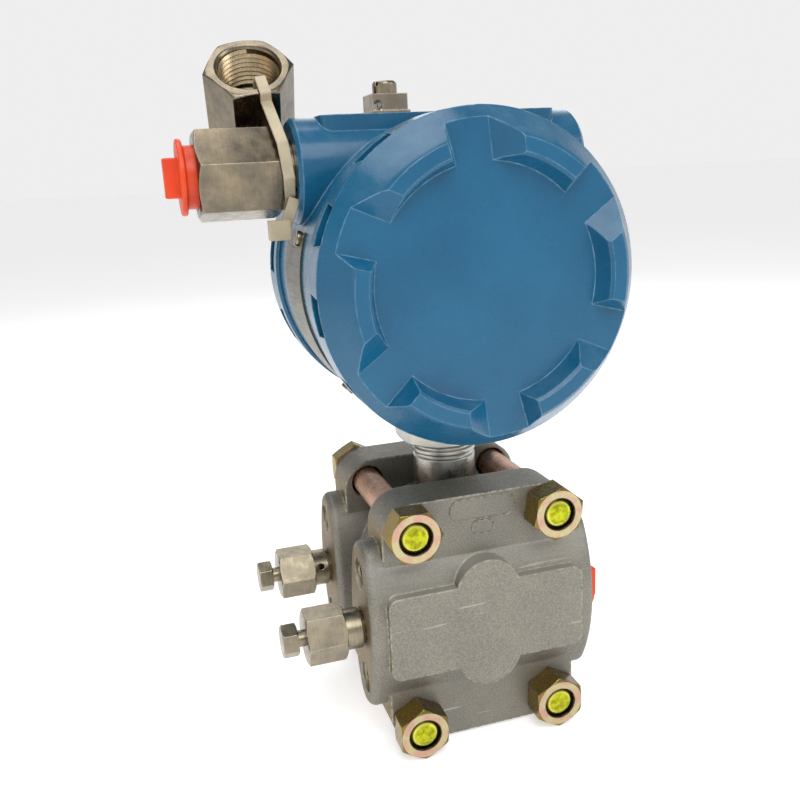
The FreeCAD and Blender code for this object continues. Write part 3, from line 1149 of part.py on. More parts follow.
node(group("BlockScrews", [
    slotted_screw("BlockScrew%d" % angle, "Dim.pillar_screw_radius",
                  "Dim.terminal_depth + Dim.pillar_screw_grip", "Dim.pillar_screw_head",
                  "Dim.terminal_head", 25 * index, y=block_face, axis=REAR,
                  **pillar_spot(angle)) for index, angle in enumerate(PILLARS)]),
     "terminal_block_screws")


# ------------------------------------------------------------- recompute and write
doc.recompute()
faults = [item.Name for item in doc.Objects
          if "Invalid" in item.State or "Error" in item.State]
if faults:
    raise RuntimeError("objects that did not compute: " + ", ".join(faults))
for item in NODES:
    if item.Shape.isNull() or not item.Shape.isValid():
        raise RuntimeError("no valid shape: " + item.Label)
os.makedirs("parts", exist_ok=True)
for item in NODES:
    item.Shape.exportStep("parts/%s.step" % item.Label)
    bounds = item.Shape.BoundBox
    print("%-24s %9.0f mm3  x %7.1f %7.1f  y %7.1f %7.1f  z %7.1f %7.1f" % (
        item.Label, item.Shape.Volume, bounds.XMin, bounds.XMax, bounds.YMin, bounds.YMax,
        bounds.ZMin, bounds.ZMax))
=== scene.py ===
"""Looks of a differential pressure transmitter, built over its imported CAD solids.

Lengths are in metres in the part's own frame: X along the flanges, -Y to the front
cover, Z up. Pattern sizes are given in millimetres, as they are on the real piece.
"""
import math

import bmesh
import bpy
from mathutils import Matrix, Vector


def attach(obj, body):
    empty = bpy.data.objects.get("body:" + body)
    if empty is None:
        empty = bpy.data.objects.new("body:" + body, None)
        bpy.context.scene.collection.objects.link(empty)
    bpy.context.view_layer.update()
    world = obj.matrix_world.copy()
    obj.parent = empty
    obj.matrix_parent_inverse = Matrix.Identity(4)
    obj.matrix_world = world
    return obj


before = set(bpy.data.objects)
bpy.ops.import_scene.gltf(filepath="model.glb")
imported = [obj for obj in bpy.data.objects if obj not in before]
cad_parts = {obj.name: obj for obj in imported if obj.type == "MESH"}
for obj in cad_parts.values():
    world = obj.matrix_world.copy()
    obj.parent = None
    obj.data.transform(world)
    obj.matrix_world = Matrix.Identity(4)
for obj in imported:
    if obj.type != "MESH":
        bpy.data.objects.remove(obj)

bl_info = {
    "name": "Pressure Transmitter Dresser",
    "version": (1, 0, 0),
    "blender": (4, 5, 0),
    "location": "View3D > Sidebar > Transmitter",
    "description": "Gives a differential pressure transmitter its finishes, light and camera",
    "category": "Object",
}

MM = 0.001

# Places on the part that the finishes and threads follow, in millimetres.
PORT_HEIGHT = 47.81
PORT_ACROSS = 27
HOLE_RISE = 20.65
BOLT_ACROSS = 26.5
BOLT_RISE = 37.7
EAR_FACE = -35.0
FLANGE_END = 42.2
ENTRY_HEIGHT = 205.8
SPARE_MOUTH = (-60.6, 10.0, 240.9)
SPARE_AXIS = (-0.0896, -0.7043, 0.7043)
FITTED_PIPE_END = -51.3
ENTRY_MOUTH = 42.6

# Threads: pitches, then radii at the root and the crest, in millimetres.
PIPE_PITCH = 1.814
HOLE_PITCH = 1.27
HOLE_DEPTH = 12
SOCKET_THREAD = (10.25, 9.35)
PIPE_THREAD = (10.4, 10.75)
ENTRY_THREAD = (10.6, 9.8)
VENT_HOLE_THREAD = (5.5, 4.9)
PORT_HOLE_THREAD = (4.93, 4.4)

# Blank cast cartouches on the front ear: name, height above the feet, length, width.
CARTOUCHES = (("upper", 88.9, 24.6, 7.9), ("lower", 81.7, 8.3, 4.9))
CARTOUCHE_MIDDLE = 1.3
CARTOUCHE_BEAD = 0.35

# Camera: place in metres, then heading, pitch and roll in degrees.
CAMERA_PLACE = (-0.1062, -0.3015, 0.2047)
CAMERA_TURN = (16.57, -14.75, -2.92)

NOISE = "ShaderNodeTexNoise"
RANGE = "ShaderNodeMapRange"
MATH = "ShaderNodeMath"
VECTOR = "ShaderNodeVectorMath"
BEVEL = "ShaderNodeBevel"
GEOMETRY = "ShaderNodeNewGeometry"


# ------------------------------------------------------------------ small helpers
def linear(code):
    """sRGB hex code to the linear RGBA that shader sockets take."""
    parts = [int(code[i:i + 2], 16) / 255 for i in (1, 3, 5)]
    return [c / 12.92 if c <= 0.04045 else ((c + 0.055) / 1.055) ** 2.4 for c in parts] + [1]


def add_node(tree, kind, inputs=None, out=0, **settings):
    """Add a node, set its properties, set or link its inputs, give one output."""
    node = tree.nodes.new(kind)
    for name, value in settings.items():
        setattr(node, name, value)
    for name, value in (inputs or {}).items():
        if isinstance(value, bpy.types.NodeSocket):
            tree.links.new(value, node.inputs[name])
        else:
            value = linear(value) if isinstance(value, str) else value
            node.inputs[name].default_value = value
    return node.outputs[out] if node.outputs else None


class Finish:
    """A material under its real name, and the nodes added to it."""

    def __init__(self, name):
        self.material = bpy.data.materials.new(name)
        self.material.use_nodes = True
        self.tree = self.material.node_tree
        self.tree.nodes.clear()
        self.place = self.add("ShaderNodeTexCoord", out="Object")

    def add(self, kind, inputs=None, out=0, **settings):
        """Add a node to this material."""
        return add_node(self.tree, kind, inputs, out, **settings)

    def mottle(self, size_mm, low, high, start=0.0, end=1.0, detail=3, roughness=0.5):
        """Blotches about size_mm across, faded from low..high to start..end."""
        noise = self.add(NOISE, {"Vector": self.place, "Scale": 1 / (size_mm * MM),
                                 "Detail": detail, "Roughness": roughness})
        return self.add(RANGE, {"Value": noise, "From Min": low, "From Max": high,
                                "To Min": start, "To Max": end})

    def streaks(self, size_mm, stretch, detail=2, roughness=0.6):
        """Scratches or tool marks size_mm wide, drawn out where the stretch is small."""
        place = self.add("ShaderNodeMapping", {"Vector": self.place, "Scale": stretch})
        return self.add(NOISE, {"Vector": place, "Scale": 1 / (size_mm * MM),
                                "Detail": detail, "Roughness": roughness})

    def facing(self, axis, low, high, start=0.0, end=1.0, both_ways=False):
        """Where the surface faces along an axis of the part, faded from low..high."""
        normal = self.add(GEOMETRY, out="True Normal")
        turn = self.add(VECTOR, {0: normal, 1: axis}, "Value", operation="DOT_PRODUCT")
        if both_ways:
            turn = self.add(MATH, {0: turn}, operation="ABSOLUTE")
        return self.add(RANGE, {"Value": turn, "From Min": low, "From Max": high,
                                "To Min": start, "To Max": end})

    def along(self, axis):
        """Distance along a direction of the part, in millimetres."""
        metres = self.add(VECTOR, {0: self.place, 1: axis}, "Value", operation="DOT_PRODUCT")
        return self.add(MATH, {0: metres, 1: MM}, operation="DIVIDE")

    def from_ports(self):
        """Height above or below the line of the ports, in millimetres."""
        up = self.add(MATH, {0: self.along((0, 0, 1)), 1: PORT_HEIGHT}, operation="SUBTRACT")
        return self.add(MATH, {0: up}, operation="ABSOLUTE")

    def bolt_radius(self):
        """Distance to the axis of the nearest flange bolt, in millimetres."""
        side = self.add(MATH, {0: self.along((1, 0, 0))}, operation="ABSOLUTE")
        squares = []
        for offset, place in ((side, BOLT_ACROSS), (self.from_ports(), BOLT_RISE)):
            offset = self.add(MATH, {0: offset, 1: place}, operation="SUBTRACT")
            squares.append(self.add(MATH, {0: offset, 1: 2}, operation="POWER"))
        total = self.add(MATH, {0: squares[0], 1: squares[1]}, operation="ADD")
        return self.add(MATH, {0: total}, operation="SQRT")

    def edges(self, radius_mm):
        """1 along edges sharper than the radius, fading to 0 on the faces."""
        soft = self.add(BEVEL, {"Radius": radius_mm * MM}, samples=6)
        true = self.add(GEOMETRY, out="Normal")
        same = self.add(VECTOR, {0: soft, 1: true}, "Value", operation="DOT_PRODUCT")
        return self.add(RANGE, {"Value": same, "From Min": 0.995, "From Max": 0.88})

    def layers(self, body, *coats):
        """Lay coats over a body colour, each a mask and the colour it brings."""
        for mask, colour in coats:
            body = self.add("ShaderNodeMix", {0: mask, 6: body, 7: colour}, 2,
                            data_type="RGBA")
        return body

    def relief(self, edge_mm, *heights):
        """Normal with edges rounded to edge_mm, over it heights with depths in mm."""
        normal = self.add(BEVEL, {"Radius": edge_mm * MM}, samples=6) if edge_mm else None
        for height, depth_mm in heights:
            inputs = {"Height": height, "Distance": depth_mm * MM, "Strength": 1.0}
            if normal:
                inputs["Normal"] = normal
            normal = self.add("ShaderNodeBump", inputs)
        return normal

    def surface(self, **sockets):
        """Shade with these sockets, base_color standing for Base Color, and end."""
        titles = {name.replace("_", " ").title().replace("Ior", "IOR"): value
                  for name, value in sockets.items()}
        shader = self.add("ShaderNodeBsdfPrincipled", titles)
        self.add("ShaderNodeOutputMaterial", {"Surface": shader})
        return self.material


# ---------------------------------------------------------------------- materials
def polyester_paint(code):
    """Semi-gloss polyester paint sprayed on cast aluminium.

    It shows a faint orange peel 1.5 mm across, dust mixed with a painted top light on
    what faces up, and lighter lines along the edges that are partly wear and partly a
    painted highlight.
    """
    s = Finish("polyester_paint_sprayed")
    # Dust and painted top light: faces that point up are made lighter in blotches.
    dust_and_top_light = s.add(MATH, {0: s.facing((0, 0, 1), 0.15, 0.95, 0, 0.16),
                        1: s.mottle(7, 0.4, 0.7, detail=4, roughness=0.6)},
                 operation="MULTIPLY")
    # Partly edge wear, partly a painted highlight: lighter lines along the edges.
    edge_wear_and_painted_light = s.add(MATH, {0: s.edges(0.6), 1: s.mottle(3.0, 0.35, 0.6, 0.2, 0.9, detail=4)},
                 operation="MULTIPLY")
    colour = s.layers(code, (s.mottle(26, 0.35, 0.65), "#125a7d"), (dust_and_top_light, "#7f98a6"),
                      (edge_wear_and_painted_light, "#86b1cb"))
    peel = s.add(NOISE, {"Vector": s.place, "Scale": 1 / (1.5 * MM), "Detail": 2})
    normal = s.relief(0.7, (peel, 0.02), (s.mottle(0.5, 0.3, 0.5, detail=2), 0.012))
    return s.surface(base_color=colour, roughness=s.mottle(6, 0.3, 0.7, 0.22, 0.33),
                     specular_ior_level=0.32, coat_weight=0.2, coat_roughness=0.1,
                     normal=normal)


def blasted_casting():
    """Investment cast stainless steel, bead blasted.

    Grey-beige with bright grains. The real grain is about 0.2 mm and is drawn at
    0.5 mm so that it shows. The machined ends are browner. The end pads are painted
    lighter than the ears, so that the ears read as shaded by the cover above them,
    and the barrel's top is painted lighter as a painted top light.
    """
    s = Finish("cast_stainless_blasted")
    depth = s.add(MATH, {0: s.along((0, 1, 0))}, operation="ABSOLUTE")
    # Painted light and shade: the end pads are made lighter than the ears, which stay darker
    # as if shaded by the cover.
    painted_pad_light = s.add(RANGE, {"Value": depth, "From Min": 36.5, "From Max": 41.5})
    painted_pad_light = s.add(MATH, {0: painted_pad_light, 1: 0.3}, operation="MULTIPLY")
    # Painted top light: the barrel's upward faces near the ports are made lighter.
    barrel = s.add(RANGE, {"Value": s.from_ports(), "From Min": 28, "From Max": 25})
    top = s.add(MATH, {0: barrel, 1: s.facing((0, 0, 1), 0.2, 0.8, 0, 0.75)},
                operation="MULTIPLY")
    # Edge wear: the rubbed edges are lighter in patches.
    edge_wear_and_painted_light = s.add(MATH, {0: s.edges(1.2), 1: s.mottle(1.6, 0.42, 0.6, detail=4)},
                 operation="MULTIPLY")
    scratch = s.add(RANGE, {"Value": s.streaks(1.6, (0.06, 1, 1), roughness=0.5),
                            "From Min": 0.69, "From Max": 0.74, "To Max": 0.5})
    grain = s.add(NOISE, {"Vector": s.place, "Scale": 1 / (0.5 * MM), "Detail": 3,
                          "Roughness": 0.75})
    specks = s.add(RANGE, {"Value": grain, "From Min": 0.38, "From Max": 0.68,
                           "To Max": 0.34})
    colour = s.layers(
        "#6c6b65", (s.mottle(16, 0.32, 0.68, detail=4), "#7d796e"),
        (s.mottle(5, 0.52, 0.72, 0, 0.45, detail=5, roughness=0.65), "#635f55"),
        (s.facing((1, 0, 0), 0.9, 0.99, both_ways=True), "#6f5a30"), (painted_pad_light, "#8d897e"),
        (top, "#c4c3bd"), (edge_wear_and_painted_light, "#c2bbab"), (scratch, "#c9c4b8"), (specks, "#bdb7aa"))
    lumps = s.add(NOISE, {"Vector": s.place, "Scale": 1 / (3.5 * MM), "Detail": 3})
    facets = s.add("ShaderNodeTexVoronoi", {"Vector": s.place, "Scale": 1 / (0.5 * MM)},
                   "Color")
    glint = s.add(RANGE, {"Value": facets, "From Min": 0.86, "From Max": 0.97})
    glint = s.add(MATH, {0: glint, 1: 0.22}, operation="MULTIPLY")
    matt = s.add(RANGE, {"Value": grain, "From Min": 0.3, "From Max": 0.7, "To Min": 0.6,
                         "To Max": 0.44})
    rough = s.add(MATH, {0: matt, 1: glint}, operation="SUBTRACT")
    return s.surface(base_color=colour, metallic=0.75, roughness=rough,
                     normal=s.relief(1.2, (lumps, 0.06), (grain, 0.06)))


def yellow_passivated():
    """Zinc plating with a yellow chromate film, on the nuts.

    The film shifts from gold on the flats to pink on the turned faces, which carry
    tool rings 0.3 mm apart.
    """
    s = Finish("zinc_yellow_passivated_nuts")
    drift = s.add(MATH, {0: s.mottle(6, 0.38, 0.62), 1: 0.45}, operation="MULTIPLY")
    # Painted shade: the flats that face +X are made darker.
    flats = s.layers("#8e7a35", (s.facing((1, 0, 0), -0.6, 0.6), "#544c26"),
                     (drift, "#83604f"))
    radius = s.bolt_radius()
    turns = s.add(MATH, {0: radius, 1: 21.0}, operation="MULTIPLY")
    wave = s.add(MATH, {0: turns}, operation="SINE")
    rings = s.add(RANGE, {"Value": wave, "From Min": -1})
    rings = s.add(MATH, {0: rings, 1: 0.22}, operation="MULTIPLY")
    face = s.layers("#b88a78", (s.mottle(5, 0.4, 0.6, detail=2), "#b3a878"),
                    (rings, "#f0e2d2"))
    # Painted shade: the nut's bore around the bolt is made dark.
    painted_bore_shade = s.add(RANGE, {"Value": radius, "From Min": 6.25, "From Max": 6.0})
    # Edge wear: the plating is rubbed lighter on the edges in patches.
    edge_wear_and_painted_light = s.add(MATH, {0: s.edges(0.5), 1: s.mottle(1.5, 0.4, 0.6, 0.2, 0.9)},
                 operation="MULTIPLY")
    colour = s.layers(flats, (s.facing((0, -1, 0), 0.9, 0.98), face), (painted_bore_shade, "#2a2612"),
                      (edge_wear_and_painted_light, "#e0d9a6"))
    ripple = s.add(NOISE, {"Vector": s.place, "Scale": 1 / (0.8 * MM), "Detail": 3})
    return s.surface(base_color=colour, metallic=0.9,
                     roughness=s.mottle(1.5, 0.3, 0.7, 0.2, 0.38),
                     normal=s.relief(0.5, (ripple, 0.02)))


def bolt_finish():
    """The same plating on the bolts: pink shanks and lime-yellow domed tips.

    The thread shows as ridges 1.26 mm apart, close to the bolts' own pitch.
    """
    s = Finish("zinc_yellow_passivated_bolts")
    depth = s.along((0, 1, 0))
    head = s.add(RANGE, {"Value": depth, "From Min": 34.5, "From Max": 35.5})
    shank = s.layers("#d3a78e", (s.mottle(7, 0.4, 0.6), "#b8957c"), (head, "#95864c"))
    radius = s.bolt_radius()
    lip, groove, flank = (s.add(RANGE, {"Value": radius, "From Min": low, "From Max": high})
                          for low, high in ((3.4, 4.3), (4.3, 4.7), (5.1, 5.5)))
    tip = s.layers("#b9c11e", (s.mottle(2.0, 0.38, 0.62), "#8f8a12"), (lip, "#d9d45a"),
                   (groove, "#5c5220"), (flank, "#8b7d30"))
    front = s.add(RANGE, {"Value": depth, "From Min": -34.5, "From Max": -35.5})
    turns = s.add(MATH, {0: depth, 1: 5.0}, operation="MULTIPLY")
    wave = s.add(MATH, {0: turns}, operation="SINE")
    ridges = s.add(RANGE, {"Value": wave, "From Min": -1})
    outer = s.add(RANGE, {"Value": radius, "From Min": 5.0, "From Max": 5.4})
    thread = s.add(MATH, {0: ridges, 1: outer}, operation="MULTIPLY")
    ripple = s.add(NOISE, {"Vector": s.place, "Scale": 1 / (0.7 * MM), "Detail": 3})
    return s.surface(base_color=s.layers(shank, (front, tip)), metallic=0.8,
                     roughness=s.mottle(2, 0.3, 0.7, 0.22, 0.4),
                     normal=s.relief(0.5, (thread, 0.12), (ripple, 0.02)))


def turned_stainless(name="stainless_turned", code="#857c6c", other="#a0967f",
                     axis="X", rough=0.24):
    """Stainless steel turned or drawn along an axis.

    Fine marks run across the axis. Real ones are under 0.1 mm and are drawn at
    0.3 mm so that they show. Stains are broad, and the edges carry a painted highlight.
    """
    s = Finish(name)
    stretch = {"X": (1, 0.02, 0.02), "Z": (0.02, 0.02, 1), "Y": (0.02, 1, 0.02)}[axis]
    rings = s.streaks(0.3, stretch)
    marks = s.add(RANGE, {"Value": rings, "From Min": 0.45, "From Max": 0.7,
                          "To Max": 0.25})
    # Painted highlight: a bright band along every edge.
    edge_wear_and_painted_light = s.add(MATH, {0: s.edges(0.6), 1: 0.6}, operation="MULTIPLY")
    colour = s.layers(code, (s.mottle(8, 0.35, 0.68, detail=4, roughness=0.6), other),
                      (marks, "#5d5549"), (edge_wear_and_painted_light, "#d8d1c4"))
    return s.surface(base_color=colour, metallic=1.0,
                     roughness=s.mottle(3, 0.3, 0.7, rough, rough + 0.14),
                     normal=s.relief(0.4, (rings, 0.01)))


def moulded_plastic(name, code, other, rough=0.4, subsurface=0.0):
    """Injection moulded thermoplastic with a spark-eroded grain of 0.35 mm."""
    s = Finish(name)
    grain = s.add(NOISE, {"Vector": s.place, "Scale": 1 / (0.35 * MM), "Detail": 2})
    return s.surface(base_color=s.layers(code, (s.mottle(8, 0.35, 0.65), other)),
                     roughness=s.mottle(2, 0.3, 0.7, rough, rough + 0.12),
                     subsurface_weight=subsurface, subsurface_scale=0.002,
                     normal=s.relief(0.5, (grain, 0.008)))


def moulded_rubber():
    """Moulded nitrile rubber, matt black with a dusty bloom."""
    s = Finish("nitrile_moulded")
    grain = s.add(NOISE, {"Vector": s.place, "Scale": 1 / (0.4 * MM), "Detail": 3})
    bloom = s.mottle(1.5, 0.5, 0.75, detail=4)
    return s.surface(base_color=s.layers("#141414", (bloom, "#2a2927")), roughness=0.6,
                     normal=s.relief(0, (grain, 0.01)))


def plate_sheet():
    """Rolled stainless sheet, brushed lengthwise, with blank ruled fields 6 mm high."""
    s = Finish("stainless_sheet_brushed")
    brush = s.streaks(0.3, (1, 0.03, 1))
    turns = s.add(MATH, {0: s.along((0, 0, 1)), 1: 1.05}, operation="MULTIPLY")
    wave = s.add(MATH, {0: turns}, operation="SINE")
    rule = s.add(RANGE, {"Value": wave, "From Min": 0.965, "From Max": 0.995})
    across = s.add(MATH, {0: s.along((0, 1, 0))}, operation="ABSOLUTE")
    inner = s.add(RANGE, {"Value": across, "From Min": 10.2, "From Max": 10.0})
    field = s.add(MATH, {0: rule, 1: inner}, operation="MULTIPLY")
    field = s.add(MATH, {0: field, 1: 0.7}, operation="MULTIPLY")
    # Painted shade: the plate's edges are made darker, a dark line along its rim.
    edge_wear_and_painted_light = s.add(MATH, {0: s.edges(0.5), 1: 0.7}, operation="MULTIPLY")
    colour = s.layers("#57564b", (s.mottle(10, 0.35, 0.65), "#6b685a"), (field, "#2f3330"),
                      (edge_wear_and_painted_light, "#3d392f"))
    rough = s.add(RANGE, {"Value": brush, "From Min": 0.3, "From Max": 0.7, "To Min": 0.3,
                          "To Max": 0.45})
    return s.surface(base_color=colour, metallic=0.9, roughness=rough,
                     normal=s.relief(0, (brush, 0.01)))


def solder_mask():
    """Glass epoxy board under screened green solder mask, its tracks showing."""
    s = Finish("solder_mask_screened")
    tracks = s.add("ShaderNodeTexBrick", {"Vector": s.place, "Scale": 180.0}, "Fac")
    mask = s.add(RANGE, {"Value": tracks, "From Min": 0.2, "From Max": 0.8})
    return s.surface(base_color=s.layers("#0f5a2c", (mask, "#2b7c46")), roughness=0.35,
                     coat_weight=0.4, normal=s.relief(0, (tracks, 0.03)))


def light_table():
    """Matt acrylic sheet lit from within: a clean pale floor."""
    s = Finish("light_table_acrylic")
    return s.surface(base_color=s.layers("#eeeeee", (s.mottle(200, 0.3, 0.7), "#f2f2f2")),
                     roughness=0.7, emission_color="#ffffff", emission_strength=0.5)


# ------------------------------------------------------------------ dressing nodes
def dress(name, material, bevel_mm=0.0, angle=28):
    """Give a CAD node its material, smooth its curves and break its edges."""
    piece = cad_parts[name]
    piece.data.materials.clear()
    piece.data.materials.append(material)
    soften(piece, bevel_mm, angle)
    return piece


def soften(piece, bevel_mm=0.0, angle=28):
    """Shade by angle, after an optional bevel of the sharp edges."""
    piece.data.shade_smooth()
    if bevel_mm:
        weld = piece.modifiers.new("weld", "WELD")
        weld.merge_threshold = 0.005 * MM
        flat = piece.modifiers.new("flat", "DECIMATE")
        flat.decimate_type = "DISSOLVE"
        flat.angle_limit = math.radians(0.8)
        bevel = piece.modifiers.new("bevel", "BEVEL")
        bevel.width = bevel_mm * MM
        bevel.segments = 2
        bevel.limit_method = "ANGLE"
        bevel.angle_limit = math.radians(angle)
        bevel.use_clamp_overlap = True
    shade = piece.modifiers.new("shade", "WEIGHTED_NORMAL")
    shade.keep_sharp = True
    shade.weight = 80


def add_piece(name, data, material, body):
    """Own piece that moves with a body and takes the finish it is given."""
    data.materials.append(material)
    piece = bpy.data.objects.new(name, data)
    bpy.context.collection.objects.link(piece)
    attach(piece, body)
    return piece


def thread_mesh(name, centre, axis, radii, pitch, length):
    """Screw thread wound round an axis from a mouth inwards, in millimetres."""
    root, crest = radii
    segments = 48
    steps = int(segments * length / pitch)
    turn = Vector(axis).to_track_quat("Z", "X").to_matrix()
    spots, faces = [], []
    for step in range(steps + segments):
        angle = 2 * math.pi * step / segments
        height = pitch * step / segments
        for radius, lift in ((root, 0), (crest, pitch / 2)):
            local = Vector((radius * math.cos(angle), radius * math.sin(angle),
                            -height - lift))
            spots.append((Vector(centre) + turn @ local) * MM)
    for step in range(steps):
        low, following = 2 * step, 2 * (step + 1)
        faces.append((low, following, following + 1, low + 1))
        above = low + 2 * segments
        if step + 1 < steps:
            faces.append((low + 1, following + 1, above + 2, above))
    mesh = bpy.data.meshes.new(name)
    mesh.from_pydata(spots, [], faces)
    mesh.shade_smooth()
    mesh.set_sharp_from_angle(angle=math.radians(30))
    return mesh


def raised_outline(name, centre, length, height, bead):
    """Oval bead round a blank cast cartouche on a wall that faces the front."""
    across, y, up = centre
    straight, end = (length - height) / 2, height / 2
    curve = bpy.data.curves.new(name, "CURVE")
    curve.dimensions = "3D"
    curve.bevel_depth = bead * MM
    curve.bevel_resolution = 2
    spline = curve.splines.new("POLY")
    count = 24
    spline.points.add(count - 1)
    spline.use_cyclic_u = True
    for index in range(count):
        side = 1 if index < count / 2 else -1
        angle = math.pi * (index % (count // 2)) / (count / 2 - 1) - math.pi / 2
        x = across + side * (straight + end * math.cos(angle))
        z = up + side * end * math.sin(angle)
        spline.points[index].co = (x * MM, y * MM, z * MM, 1)
    return curve


# ---------------------------------------------------------------------- settings
class TransmitterLooks(bpy.types.PropertyGroup):
    paint: bpy.props.StringProperty(
        name="Paint", default="#0d5275",
        description="sRGB colour of the housing's paint")
    plug: bpy.props.StringProperty(
        name="Plugs", default="#de4200",
        description="sRGB colour of the moulded plugs")
    tie: bpy.props.StringProperty(
        name="Cable tie", default="#b9ae94",
        description="sRGB colour of the nylon tie")
    casting_edge: bpy.props.FloatProperty(
        name="Casting edges", default=0.9 * MM, min=0, max=3 * MM, precision=4,
        unit="LENGTH", description="Width of the bevel on the flanges' edges")
    housing_edge: bpy.props.FloatProperty(
        name="Housing edges", default=0.8 * MM, min=0, max=3 * MM, precision=4,
        unit="LENGTH", description="Width of the bevel on the housing's edges")
    lens: bpy.props.FloatProperty(
        name="Lens", default=39.2, min=10, max=200, unit="CAMERA",
        description="Focal length of the camera in millimetres")


def looks():
    """The user's settings for this scene."""
    return bpy.context.scene.transmitter_looks


# ---------------------------------------------------------------------- operators
class TRANSMITTER_OT_flanges(bpy.types.Operator):
    """Dress the process flanges and the seals between them"""
    bl_idname = "transmitter.flanges"
    bl_label = "Process flanges"

    def execute(self, context):
        casting = blasted_casting()
        for name in ("front_flange", "rear_flange"):
            dress(name, casting, looks().casting_edge / MM)
        for name, up, length, width in CARTOUCHES:
            outline = raised_outline(name + "_cartouche", (CARTOUCHE_MIDDLE, EAR_FACE, up),
                                     length, width, CARTOUCHE_BEAD)
            add_piece(name + "_cartouche", outline, casting, "process_body")
        hole_thread = turned_stainless("stainless_tapped_hole", "#7a6f58", "#9a8e74")
        for side, out, radii in (("left", -1, VENT_HOLE_THREAD),
                                 ("right", 1, PORT_HOLE_THREAD)):
            for y in (-PORT_ACROSS, PORT_ACROSS):
                for z in (PORT_HEIGHT - HOLE_RISE, PORT_HEIGHT + HOLE_RISE):
                    name = "tapped_thread_%s_%d_%d" % (side, y, z)
                    mesh = thread_mesh(name, (FLANGE_END * out, y, z), (out, 0, 0), radii,
                                       HOLE_PITCH, HOLE_DEPTH)
                    add_piece(name, mesh, hole_thread, "process_body")
        dress("process_seals", moulded_plastic("filled_fluoropolymer_skived", "#e6e2d6",
                                               "#d9d3c3"))
        return {"FINISHED"}


class TRANSMITTER_OT_bolting(bpy.types.Operator):
    """Dress the flange bolts and nuts"""
    bl_idname = "transmitter.bolting"
    bl_label = "Flange bolting"

    def execute(self, context):
        dress("flange_nuts", yellow_passivated(), 0.3)
        dress("flange_bolts", bolt_finish(), 0.3)
        return {"FINISHED"}


class TRANSMITTER_OT_cell(bpy.types.Operator):
    """Dress the sensing cell, its diaphragms and the lock nut"""
    bl_idname = "transmitter.cell"
    bl_label = "Sensing cell"

    def execute(self, context):
        steel = turned_stainless("stainless_turned_upright", "#b0b2ae", "#c8c7be", "Z")
        for name in ("sensing_cell", "housing_lock_nut"):
            dress(name, steel, 0.3)
        dress("isolating_diaphragms", turned_stainless("stainless_foil_pressed", axis="Y",
                                                       rough=0.15))
        return {"FINISHED"}


class TRANSMITTER_OT_vents(bpy.types.Operator):
    """Dress the vent valves"""
    bl_idname = "transmitter.vents"
    bl_label = "Vent valves"

    def execute(self, context):
        steel = turned_stainless("stainless_turned_lengthwise", axis="X")
        for name in ("vent_valve_bodies", "front_vent_stem", "rear_vent_stem"):
            dress(name, steel, 0.25)
        return {"FINISHED"}


class TRANSMITTER_OT_plugs(bpy.types.Operator):
    """Dress the moulded plugs"""
    bl_idname = "transmitter.plugs"
    bl_label = "Plugs"

    def execute(self, context):
        red = moulded_plastic("polyethylene_moulded_red", looks().plug, "#d23a00", 0.36,
                              0.1)
        for name in ("front_port_plug", "rear_port_plug", "conduit_plug"):
            dress(name, red, 0.5)
        return {"FINISHED"}


class TRANSMITTER_OT_housing(bpy.types.Operator):
    """Dress the painted housing and its covers"""
    bl_idname = "transmitter.housing"
    bl_label = "Housing and covers"

    def execute(self, context):
        paint = polyester_paint(looks().paint)
        dress("housing", paint, looks().housing_edge / MM)
        for name in ("front_cover", "rear_cover"):
            dress(name, paint, 0.7)
        bare = turned_stainless("aluminium_thread_cut", "#83878a", "#9ea2a4", "X", 0.26)
        mesh = thread_mesh("entry_thread", (ENTRY_MOUTH, 0, ENTRY_HEIGHT), (1, 0, 0),
                           ENTRY_THREAD, PIPE_PITCH, 11)
        add_piece("entry_thread", mesh, bare, "housing_body")
        rubber = moulded_rubber()
        for name in ("front_cover_seal", "rear_cover_seal"):
            dress(name, rubber)
        return {"FINISHED"}


class TRANSMITTER_OT_nameplate(bpy.types.Operator):
    """Dress the blank nameplate and its screws"""
    bl_idname = "transmitter.nameplate"
    bl_label = "Nameplate"

    def execute(self, context):
        dress("nameplate", plate_sheet())
        dress("nameplate_screws", turned_stainless("stainless_screws_rolled", axis="Z"), 0.2)
        return {"FINISHED"}


class TRANSMITTER_OT_earth(bpy.types.Operator):
    """Dress the ground clamp and its screw"""
    bl_idname = "transmitter.earth"
    bl_label = "Ground terminal"

    def execute(self, context):
        dress("ground_clamp", turned_stainless("stainless_clamp_milled", "#867c6e",
                                               "#9a9182", "Y"), 0.3)
        dress("ground_screw", turned_stainless("stainless_screw_turned", axis="Z"), 0.3)
        return {"FINISHED"}


